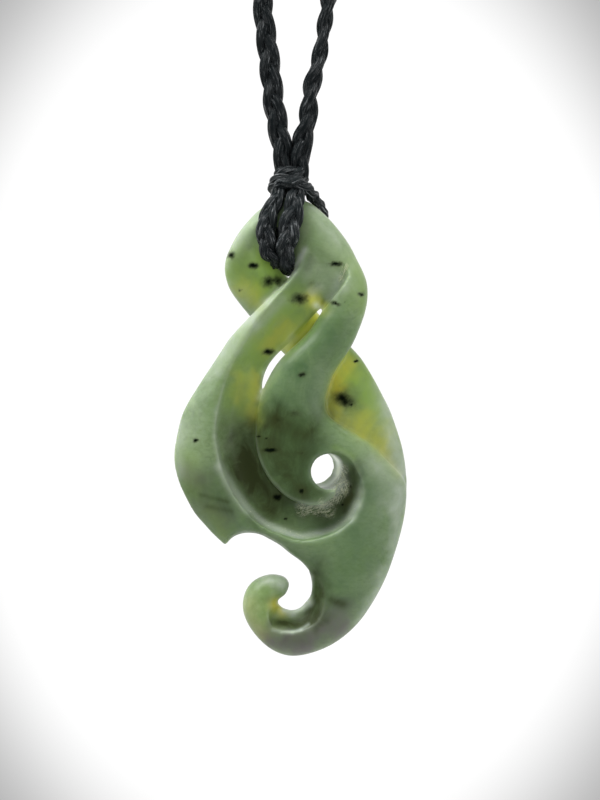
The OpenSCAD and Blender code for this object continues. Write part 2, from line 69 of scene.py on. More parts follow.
# Sections of the strand that starts left of the cord and ends at the right rim, behind the others:
# outer x, outer z, inner x, inner z, outer level, inner level, front, back, crest, roundness
BACK_STRAND = (
    (2.2, 53.9, 1.6, 51.6, 0.0, 0.0, 2.1, 2.1, 0.5, 2.0),
    (-0.6, 55.1, -0.6, 51.7, 0.0, 0.0, 2.6, 2.6, 0.5, 2.0),
    (-3.5, 53.8, -2.8, 51.2, 0.0, 0.0, 2.5, 2.5, 0.5, 2.0),
    (-5.3, 52.1, -3.5, 50.3, -0.1, 0.0, 2.4, 2.4, 0.5, 2.0),
    (-6.6, 50.4, -3.8, 49.3, -0.3, -0.1, 2.3, 2.3, 0.5, 2.0),
    (-7.7, 48.2, -3.4, 48.6, -0.6, -0.4, 2.2, 2.2, 0.5, 2.1),
    (-8.0, 46.7, -2.8, 47.9, -0.9, -0.7, 2.1, 2.1, 0.5, 2.1),
    (-7.8, 45.2, -2.2, 47.0, -1.2, -1.0, 2.0, 2.1, 0.5, 2.1),
    (-7.1, 43.6, -1.2, 46.3, -1.5, -1.3, 2.0, 2.1, 0.5, 2.2),
    (-4.9, 40.8, 1.1, 44.2, -1.7, -1.6, 2.0, 2.2, 0.5, 2.3),
    (-1.1, 36.6, 3.3, 41.2, -1.8, -1.8, 2.1, 2.2, 0.5, 2.4),
    (1.4, 34.2, 5.4, 39.0, -1.7, -1.8, 2.1, 2.3, 0.5, 2.3),
    (2.4, 31.6, 7.3, 37.1, -1.6, -1.6, 2.1, 2.4, 0.5, 2.2),
    (2.6, 29.2, 8.6, 35.6, -1.4, -1.4, 2.2, 2.4, 0.48, 2.2),
    (2.8, 27.6, 10.0, 33.3, -1.2, -1.2, 2.3, 2.4, 0.46, 2.2),
    (3.2, 26.0, 11.0, 31.4, -1.0, -1.0, 2.3, 2.4, 0.46, 2.2),
    (4.2, 24.2, 12.1, 29.1, -0.8, -0.8, 2.1, 2.4, 0.5, 2.2),
    (6.0, 22.2, 13.4, 25.0, -0.5, -0.4, 1.6, 2.3, 0.5, 2.2),
    (8.0, 20.4, 13.9, 21.4, -0.3, -0.1, 0.9, 1.8, 0.5, 2.2),
    (10.0, 18.0, 13.8, 18.6, 0.0, 0.0, 0.5, 1.2, 0.5, 2.2),
)

# Sections of the raised face, from the top, round the right lobe and over the spiral, to the tip of the hook:
# inner x, inner z, outer x, outer z, inner level, outer level, front, back, crest, roundness
FACE_STRAND = (
    (-1.0, 52.1, -1.2, 54.6, 0.0, 0.0, 2.2, 2.2, 0.5, 2.0),
    (-0.2, 50.8, 1.7, 54.7, 0.0, 0.0, 2.6, 2.6, 0.5, 2.0),
    (-0.3, 49.6, 4.3, 52.8, 0.2, 0.1, 2.8, 2.5, 0.5, 2.1),
    (-0.3, 47.8, 6.7, 49.9, 0.5, 0.3, 2.9, 2.4, 0.45, 2.1),
    (0.2, 46.4, 8.0, 47.5, 0.9, 0.5, 2.9, 2.3, 0.45, 2.1),
    (1.6, 44.9, 9.0, 45.2, 1.2, 0.8, 2.8, 2.3, 0.48, 2.2),
    (4.0, 43.0, 9.2, 43.4, 1.3, 1.1, 2.6, 2.4, 0.5, 2.2),
    (3.8, 41.6, 9.0, 41.8, 1.3, 1.2, 2.6, 2.5, 0.5, 2.2),
    (3.1, 40.4, 8.5, 40.1, 1.3, 1.2, 2.7, 2.6, 0.5, 2.2),
    (1.8, 38.6, 7.3, 37.3, 1.2, 1.2, 2.7, 2.7, 0.5, 2.2),
    (-1.3, 35.6, 5.2, 34.0, 1.1, 1.1, 2.7, 2.7, 0.5, 2.2),
    (-3.0, 32.8, 4.3, 31.5, 1.0, 1.1, 2.7, 2.8, 0.5, 2.2),
    (-3.9, 30.2, 4.1, 30.0, 0.9, 1.1, 2.7, 2.9, 0.5, 2.3),
    (-4.2, 27.7, 4.6, 28.8, 0.8, 1.1, 2.7, 3.0, 0.5, 2.3),
    (-5.0, 24.7, 5.9, 27.8, 0.7, 1.1, 2.7, 3.1, 0.5, 2.4),
    (-5.8, 22.0, 7.3, 27.0, 0.6, 1.1, 2.7, 3.2, 0.48, 2.5),
    (-6.4, 19.6, 9.0, 25.9, 0.5, 1.1, 2.7, 3.2, 0.46, 2.6),
    (-6.6, 17.4, 10.4, 24.8, 0.6, 1.0, 2.7, 3.4, 0.44, 2.6),
    (-6.3, 15.8, 11.5, 23.6, 0.8, 0.9, 2.6, 3.6, 0.42, 2.6),
    (-5.0, 14.9, 12.7, 22.4, 1.1, 0.7, 2.5, 3.8, 0.4, 2.5),
    (-3.6, 14.2, 13.6, 21.2, 1.3, 0.4, 2.5, 3.9, 0.38, 2.5),
    (-2.0, 13.4, 13.9, 19.5, 1.3, 0.1, 2.6, 3.9, 0.38, 2.4),
    (-0.4, 12.5, 13.6, 16.6, 1.1, 0.0, 2.7, 3.8, 0.4, 2.3),
    (1.1, 11.5, 12.8, 13.4, 0.8, 0.0, 2.8, 3.6, 0.44, 2.2),
    (2.1, 10.3, 11.6, 9.9, 0.4, 0.0, 2.9, 3.3, 0.5, 2.1),
    (2.5, 8.8, 10.1, 6.9, 0.1, 0.0, 2.9, 3.0, 0.54, 2.1),
    (2.4, 7.4, 8.1, 4.0, 0.0, 0.0, 2.9, 2.9, 0.54, 2.1),
    (1.8, 6.5, 5.6, 1.8, 0.0, 0.0, 2.8, 2.8, 0.54, 2.1),
    (1.1, 5.8, 2.9, 0.5, 0.0, 0.0, 2.7, 2.7, 0.54, 2.1),
    (0.2, 5.5, 0.2, 0.0, 0.0, 0.0, 2.6, 2.6, 0.52, 2.1),
    (-0.8, 5.7, -2.0, 0.6, 0.0, 0.0, 2.5, 2.5, 0.5, 2.1),
    (-1.4, 6.1, -3.8, 2.0, 0.0, 0.0, 2.4, 2.4, 0.5, 2.1),
    (-1.6, 6.5, -5.2, 3.9, 0.0, 0.0, 2.3, 2.3, 0.5, 2.1),
    (-1.5, 6.8, -5.8, 5.8, 0.0, 0.0, 2.2, 2.2, 0.5, 2.1),
    (-1.2, 7.0, -5.5, 7.7, 0.0, 0.0, 2.1, 2.1, 0.5, 2.1),
    (-0.8, 7.3, -4.4, 9.1, 0.0, 0.0, 1.9, 1.9, 0.5, 2.1),
    (-0.5, 7.7, -2.6, 9.8, 0.0, 0.0, 1.7, 1.7, 0.5, 2.1),
    (-0.3, 8.2, -1.0, 9.6, 0.0, 0.0, 1.3, 1.3, 0.5, 2.1),
    (-0.2, 8.7, -0.4, 9.1, 0.0, 0.0, 0.6, 0.6, 0.5, 2.0),
)

# Sections of the blade that forms the left rim, from right of the cord down to its point at the lower left:
# outer x, outer z, inner x, inner z, outer level, inner level, front, back, crest, roundness
BLADE = (
    (0.8, 47.9, 5.4, 47.3, 1.2, 1.0, 2.2, 2.2, 0.3, 1.8),
    (-0.2, 45.5, 5.2, 44.2, 1.3, 1.1, 2.3, 2.2, 0.16, 1.8),
    (-2.5, 43.1, 4.3, 42.6, 1.3, 1.0, 2.3, 2.2, 0.14, 1.7),
    (-4.9, 40.8, 2.8, 41.0, 1.1, 0.8, 2.3, 2.2, 0.18, 1.7),
    (-7.3, 38.2, 1.1, 39.1, 0.9, 0.6, 2.3, 2.2, 0.24, 1.6),
    (-8.5, 36.4, -0.2, 37.6, 0.8, 0.5, 2.4, 2.2, 0.27, 1.5),
    (-10.3, 33.7, -1.7, 36.2, 0.6, 0.5, 2.5, 2.2, 0.32, 1.5),
    (-11.4, 32.0, -2.7, 34.9, 0.6, 0.4, 2.5, 2.2, 0.36, 1.4),
    (-12.5, 30.2, -3.3, 33.4, 0.5, 0.4, 2.6, 2.3, 0.39, 1.4),
    (-13.2, 28.6, -3.5, 31.6, 0.5, 0.4, 2.6, 2.4, 0.42, 1.3),
    (-13.7, 26.5, -2.8, 29.2, 0.4, 0.4, 2.7, 2.5, 0.42, 1.3),
    (-14.0, 24.7, -2.0, 26.9, 0.4, 0.4, 2.7, 2.6, 0.42, 1.3),
    (-14.0, 23.2, -1.3, 24.5, 0.4, 0.4, 2.7, 2.7, 0.42, 1.3),
    (-13.7, 21.7, -0.7, 21.7, 0.4, 0.4, 2.7, 2.8, 0.42, 1.3),
    (-13.3, 20.5, -0.1, 19.3, 0.4, 0.4, 2.7, 2.8, 0.42, 1.3),
    (-12.5, 18.8, 0.4, 17.2, 0.4, 0.4, 2.7, 2.8, 0.44, 1.3),
    (-11.6, 17.2, 0.6, 15.4, 0.3, 0.4, 2.7, 2.8, 0.46, 1.3),
    (-10.4, 15.8, 0.5, 13.9, 0.3, 0.4, 2.7, 2.7, 0.48, 1.3),
    (-9.4, 14.7, 0.1, 12.8, 0.2, 0.4, 2.7, 2.6, 0.5, 1.3),
    (-7.9, 13.3, -0.1, 12.0, 0.1, 0.4, 2.6, 2.5, 0.52, 1.3),
)

# Sections of the channel between the blade and the face, which curls round the spiral into the eye:
# ridge x, ridge z, wall x, wall z, ridge level, wall level, depth, deepest place
CHANNEL = (
    (2.4, 50.8, 5.6, 50.6, 3.6, 3.6, 0.0, 0.5),
    (1.9, 49.4, 6.7, 49.0, 3.3, 3.3, 0.1, 0.5),
    (1.3, 48.0, 7.1, 47.5, 3.3, 3.2, 0.3, 0.5),
    (0.6, 46.5, 6.9, 46.0, 3.4, 2.9, 0.6, 0.55),
    (-0.6, 44.5, 6.3, 44.5, 3.5, 2.6, 0.9, 0.6),
    (-2.2, 42.4, 4.9, 42.7, 3.5, 2.0, 0.8, 0.62),
    (-3.5, 40.9, 3.9, 41.5, 3.4, 1.6, 0.8, 0.62),
    (-4.7, 39.2, 2.5, 39.6, 3.3, 1.4, 0.8, 0.6),
    (-5.6, 37.6, 1.0, 37.7, 3.2, 1.3, 0.9, 0.58),
    (-6.7, 35.6, -1.0, 35.9, 3.1, 1.2, 0.9, 0.56),
    (-7.6, 33.6, -2.5, 33.8, 3.1, 1.2, 0.9, 0.55),
    (-8.3, 31.6, -3.5, 31.6, 3.1, 1.1, 1.0, 0.55),
    (-8.8, 29.3, -4.1, 29.3, 3.1, 1.1, 1.1, 0.55),
    (-9.1, 27.1, -4.2, 27.1, 3.1, 1.1, 1.2, 0.55),
    (-8.9, 25.1, -4.1, 25.1, 3.1, 1.0, 1.2, 0.56),
    (-8.3, 22.7, -3.5, 23.0, 3.0, 1.0, 1.2, 0.54),
    (-7.3, 20.4, -2.4, 21.1, 2.8, 1.0, 1.2, 0.5),
    (-5.8, 18.1, -1.2, 19.8, 2.6, 1.0, 1.2, 0.46),
    (-3.5, 15.8, 0.1, 18.9, 2.5, 1.0, 1.2, 0.42),
    (-1.3, 14.8, 1.4, 18.4, 2.5, 1.0, 1.2, 0.4),
    (1.1, 14.1, 2.5, 18.2, 2.5, 1.0, 1.2, 0.4),
    (3.2, 14.4, 3.6, 18.3, 2.5, 1.0, 1.2, 0.4),
    (5.2, 15.1, 4.5, 18.8, 2.5, 0.9, 1.1, 0.4),
    (7.1, 16.5, 5.2, 19.4, 2.6, 0.9, 1.0, 0.42),
    (8.0, 18.0, 5.5, 20.4, 2.7, 0.9, 0.9, 0.44),
    (8.5, 19.4, 5.8, 21.1, 2.8, 1.0, 0.8, 0.46),
    (8.4, 21.1, 5.6, 22.1, 2.9, 1.2, 0.7, 0.5),
    (7.9, 22.3, 5.4, 22.7, 3.0, 1.5, 0.6, 0.5),
    (7.1, 23.6, 4.9, 23.2, 3.1, 1.9, 0.4, 0.5),
    (6.0, 24.4, 4.6, 23.4, 3.2, 2.4, 0.2, 0.5),
    (4.8, 24.7, 4.2, 23.5, 3.3, 3.0, 0.1, 0.5),
)

# Sections of the cove that runs along the inside of the hook:
# edge x, edge z, rim x, rim z, edge level, rim level, depth, deepest place
HOOK_COVE = (
    (1.9, 10.9, 2.5, 11.1, 1.6, 2.2, 0.0, 0.5),
    (2.2, 9.8, 3.4, 10.0, 1.1, 2.3, 0.2, 0.6),
    (2.3, 8.4, 3.9, 8.2, 0.8, 2.2, 0.4, 0.7),
    (2.1, 7.2, 3.8, 6.5, 0.7, 2.2, 0.5, 0.7),
    (1.5, 6.3, 3.3, 4.8, 0.7, 2.3, 0.6, 0.7),
    (0.7, 5.7, 1.9, 3.65, 0.7, 2.3, 0.7, 0.7),
    (-0.1, 5.5, 0.1, 3.2, 0.7, 2.3, 0.7, 0.7),
    (-0.9, 5.8, -1.6, 3.5, 0.8, 2.2, 0.5, 0.65),
    (-1.4, 6.2, -2.5, 4.3, 1.0, 2.0, 0.3, 0.6),
    (-1.5, 6.6, -2.6, 6.2, 1.6, 2.1, 0.0, 0.5),
)

# Outline of the bay above the hook: x, z
BAY = (
    (-12.0, 15.0), (-8.6, 13.8), (-7.9, 13.4), (-7.1, 14.2), (-6.0, 14.7), (-4.9, 14.8), (-3.7, 14.6),
    (-2.5, 14.0), (-1.3, 13.3), (-0.2, 12.4), (0.9, 11.5), (1.7, 10.8), (2.2, 10.2), (1.0, 10.2),
    (-1.5, 10.2), (-5.0, 10.4), (-12.0, 10.6),
)

# How strongly a highlight is painted on the channel's outer wall, which faces up toward the light: place
# among the channel's sections, strength
WALL_HIGHLIGHT = (
    (0, 0.0), (14, 0.0), (16, 0.1), (17, 0.3), (18, 0.55), (19, 0.68), (21, 0.7), (22, 0.5), (23, 0.4),
    (24, 0.3), (25, 0.15), (26, 0.0), (28, 0.0),
)

# Where the polish has rubbed an edge away: x and z of one end, x and z of the other, half width, strength,
# level, depth
RUBBED = (
    (4.6, 49.2, 6.6, 47.6, 1.1, 1.0, 3.0, 3.0), (-0.6, 14.6, 3.4, 14.2, 0.7, 0.8, 2.6, 1.5),
    (3.4, 14.2, 8.2, 17.6, 0.7, 0.8, 2.6, 1.5), (8.2, 17.6, 8.6, 21.0, 0.6, 0.5, 2.6, 1.5),
    (-1.8, 4.1, 0.2, 3.5, 0.5, 0.6, 2.2, 1.5), (0.2, 3.5, 2.4, 4.4, 0.5, 0.6, 2.2, 1.5),
    (2.4, 4.4, 3.8, 7.0, 0.5, 0.6, 2.2, 1.5),
)

# Black specks: x, z, half length, half width, strength, level, turn in degrees
SPECKS = (
    (-7.19, 48.03, 0.42, 0.4), (-4.44, 46.77, 0.6, 0.32), (-2.66, 44.88, 0.72, 0.6),
    (-1.5, 45.0, 0.74, 0.58), (-2.0, 45.0, 0.5, 0.2), (-6.14, 43.88, 0.24, 0.15),
    (5.32, 46.89, 0.75, 0.26, 0.95), (1.07, 42.77, 0.95, 0.6, 0.72), (2.6, 44.5, 0.9, 0.4, 0.3),
    (8.34, 43.25, 0.34, 0.25), (5.25, 42.15, 0.55, 0.2, 0.9, 3.0, -20),
    (6.43, 42.24, 0.14, 0.12, 0.8, 3.0), (-2.66, 36.46, 0.6, 0.34, 0.85, 1.5),
    (1.32, 33.69, 0.38, 0.26, 0.85, 3.0), (7.82, 35.35, 0.26, 0.15, 1.0, 0.5),
    (6.35, 30.75, 1.15, 0.7, 0.8, 0.8, -25), (7.25, 30.1, 0.2, 0.18, 1.0, 0.8), (-11.38, 25.9, 0.3, 0.2),
    (-1.63, 28.4, 0.5, 0.4, 0.5, 3.0), (0.57, 29.05, 1.0, 0.5, 0.45, 3.0),
    (-3.83, 26.34, 0.32, 0.12, 1.0, 3.0), (-2.95, 26.07, 0.2, 0.1, 0.9, 3.0),
    (-2.4, 24.75, 0.85, 0.27, 1.0, 3.0), (1.17, 24.4, 0.4, 0.12, 0.6, 3.0),
    (1.23, 19.9, 0.32, 0.26, 1.0, 3.0), (-1.63, 19.03, 0.5, 0.38, 1.0, 1.0),
    (-0.64, 16.5, 0.22, 0.14, 1.0, 1.0), (7.07, 20.35, 0.2, 0.16, 0.9, 1.0),
    (6.19, 18.15, 0.18, 0.12, 0.9, 1.0),
)

# Routes of the two plait ends that hold the stone, and of the thin plait beside them: x, y, z, fill
LOOP_LEFT = (
    (-0.9, -0.9, 56.6, 0.6), (-1.5, -2.3, 55.3, 0.66), (-1.85, -3.0, 54.3, 0.7), (-2.3, -3.4, 53.3, 0.79),
    (-2.8, -3.6, 52.2, 0.97), (-2.9, -3.6, 51.2, 1.01), (-2.9, -3.4, 50.2, 1.02), (-2.85, -3.1, 49.2, 1.0),
    (-2.55, -2.6, 48.35, 0.92), (-1.8, -1.7, 47.5, 0.82), (-1.4, 0.0, 47.05, 0.76), (-1.8, 1.6, 47.8, 0.8),
    (-2.4, 2.8, 49.0, 0.88), (-2.4, 3.4, 50.6, 0.95), (-2.2, 3.6, 51.8, 0.95), (-2.0, 3.5, 53.0, 0.95),
    (-1.8, 3.2, 54.0, 0.9), (-1.5, 2.5, 55.0, 0.8), (-0.9, 0.9, 56.6, 0.6),
)
LOOP_RIGHT = (
    (0.3, -0.9, 56.6, 0.65), (0.5, -2.4, 55.3, 0.85), (0.5, -3.2, 54.3, 0.94), (0.33, -3.7, 53.2, 1.02),
    (0.1, -4.0, 52.2, 1.14), (-0.1, -4.1, 51.2, 1.15), (-0.3, -4.0, 50.2, 1.08), (-0.5, -3.7, 49.2, 0.98),
    (-0.6, -3.2, 48.1, 0.88), (-0.48, -2.5, 47.1, 0.76), (-0.15, -1.4, 46.4, 0.58),
    (-0.2, 0.0, 46.2, 0.52), (-0.8, 1.6, 47.0, 0.63), (-0.9, 2.8, 48.4, 0.8), (-0.6, 3.5, 49.8, 0.95),
    (-0.2, 3.8, 51.2, 1.0), (0.2, 3.7, 52.6, 1.0), (0.5, 3.4, 53.9, 0.95), (0.6, 2.5, 55.0, 0.85),
    (0.3, 0.9, 56.6, 0.65),
)
STRAND_ROUTE = (
    (-1.6, -2.0, 56.3, 0.9), (-0.2, -2.7, 56.5, 1.0), (1.0, -2.4, 56.4, 1.0), (1.8, -1.5, 56.0, 1.0),
    (2.3, -0.5, 55.5, 1.0), (2.75, 0.4, 55.0, 1.0), (3.15, 1.2, 54.4, 1.0), (3.6, 2.0, 53.6, 1.0),
    (3.8, 2.8, 52.8, 1.0), (3.6, 3.5, 52.0, 1.0), (3.0, 3.8, 51.0, 1.0), (2.2, 3.8, 50.2, 1.0),
    (1.5, 3.7, 49.7, 1.0),
)

# Routes of the plaits above the wrap, which lie level with the stone's middle: x, z, fill, turn
BRAID_LEFT_LOW = (
    (-0.9, 56.8, 0.6, 0), (-0.95, 58.6, 0.82, 0), (-1.05, 60.4, 1.03, 0), (-1.25, 62.0, 1.05, 0),
    (-1.65, 63.9, 1.05, 0), (-2.1, 66.7, 1.07, 0), (-2.42, 69.7, 1.07, 0), (-2.7, 72.1, 1.07, 0),
    (-3.1, 75.1, 1.05, 0), (-3.5, 79.0, 1.0, 0), (-4.3, 84.0, 1.0, 0), (-6.1, 92.0, 1.0, 0),
    (-9.4, 104.0, 1.0, 0),
)
BRAID_RIGHT_LOW = (
    (0.95, 56.8, 0.7, 0), (1.15, 58.6, 0.92, 0), (1.15, 60.4, 1.02, 10), (1.45, 62.0, 1.02, 25),
    (1.95, 63.9, 1.0, 40), (2.35, 67.5, 0.98, 60), (2.9, 69.9, 0.94, 70), (3.5, 72.3, 0.82, 70),
    (4.0, 75.5, 0.8, 70), (4.55, 79.0, 0.95, 70), (5.35, 84.0, 1.0, 70), (6.95, 92.0, 1.0, 70),
    (9.9, 104.0, 1.0, 70),
)

# The rest of the way to the neck knot, counted from the knot: distance from the middle, z
BRAID_HIGH = (
    (13.9, -260.0), (28.1, -200.0), (42.2, -140.0), (51.7, -100.0), (57.0, -77.5), (59.6, -64.0),
    (59.9, -52.0), (57.4, -40.3), (51.4, -26.9), (42.4, -15.4), (31.0, -6.4), (20.0, -1.2), (11.5, 1.1),
    (6.4, 1.9), (4.0, 2.1),
)


class StainOrLight(Enum):
    """The kinds of marking painted on the stone, each with the name of the field that holds it: some are the
    stone's own colour, and some are painted light and shade.
    """

    SPOT = "spot"
    # Yellow-green: partly the stone's own colour, partly a painted glow where thin stone is lit from behind
    LIME = "lime"
    # Dark green: partly thick stone, partly painted shade
    DEEP = "deep"
    # Amber yellow: partly the stone's own colour, partly a painted glow where thin stone is lit from behind
    AMBER = "amber"
    # Dark olive: partly the stone's own clouds, partly painted shade in the channel, the cove and beside
    # ridges
    SMOKE = "smoke"
    # Greyish mauve: partly the stone's own tint, partly painted shade low on the stone, under the hook and
    # the blade
    MAUVE = "mauve"
    # Pale grey-green: a few pale patches of the stone, mostly painted highlights on ridges, rims and the
    # hook's crescent
    FAIR = "fair"
    # Where the carver's burr marks lie; their pale colour is partly a painted glint
    CHATTER = "chatter"
    # Painted glow, drawn as emission, where thin stone or a wall is lit from behind
    LIT = "lit"
    # Near-white painted light on the eye's wall, which is lit from behind
    PALE = "pale"
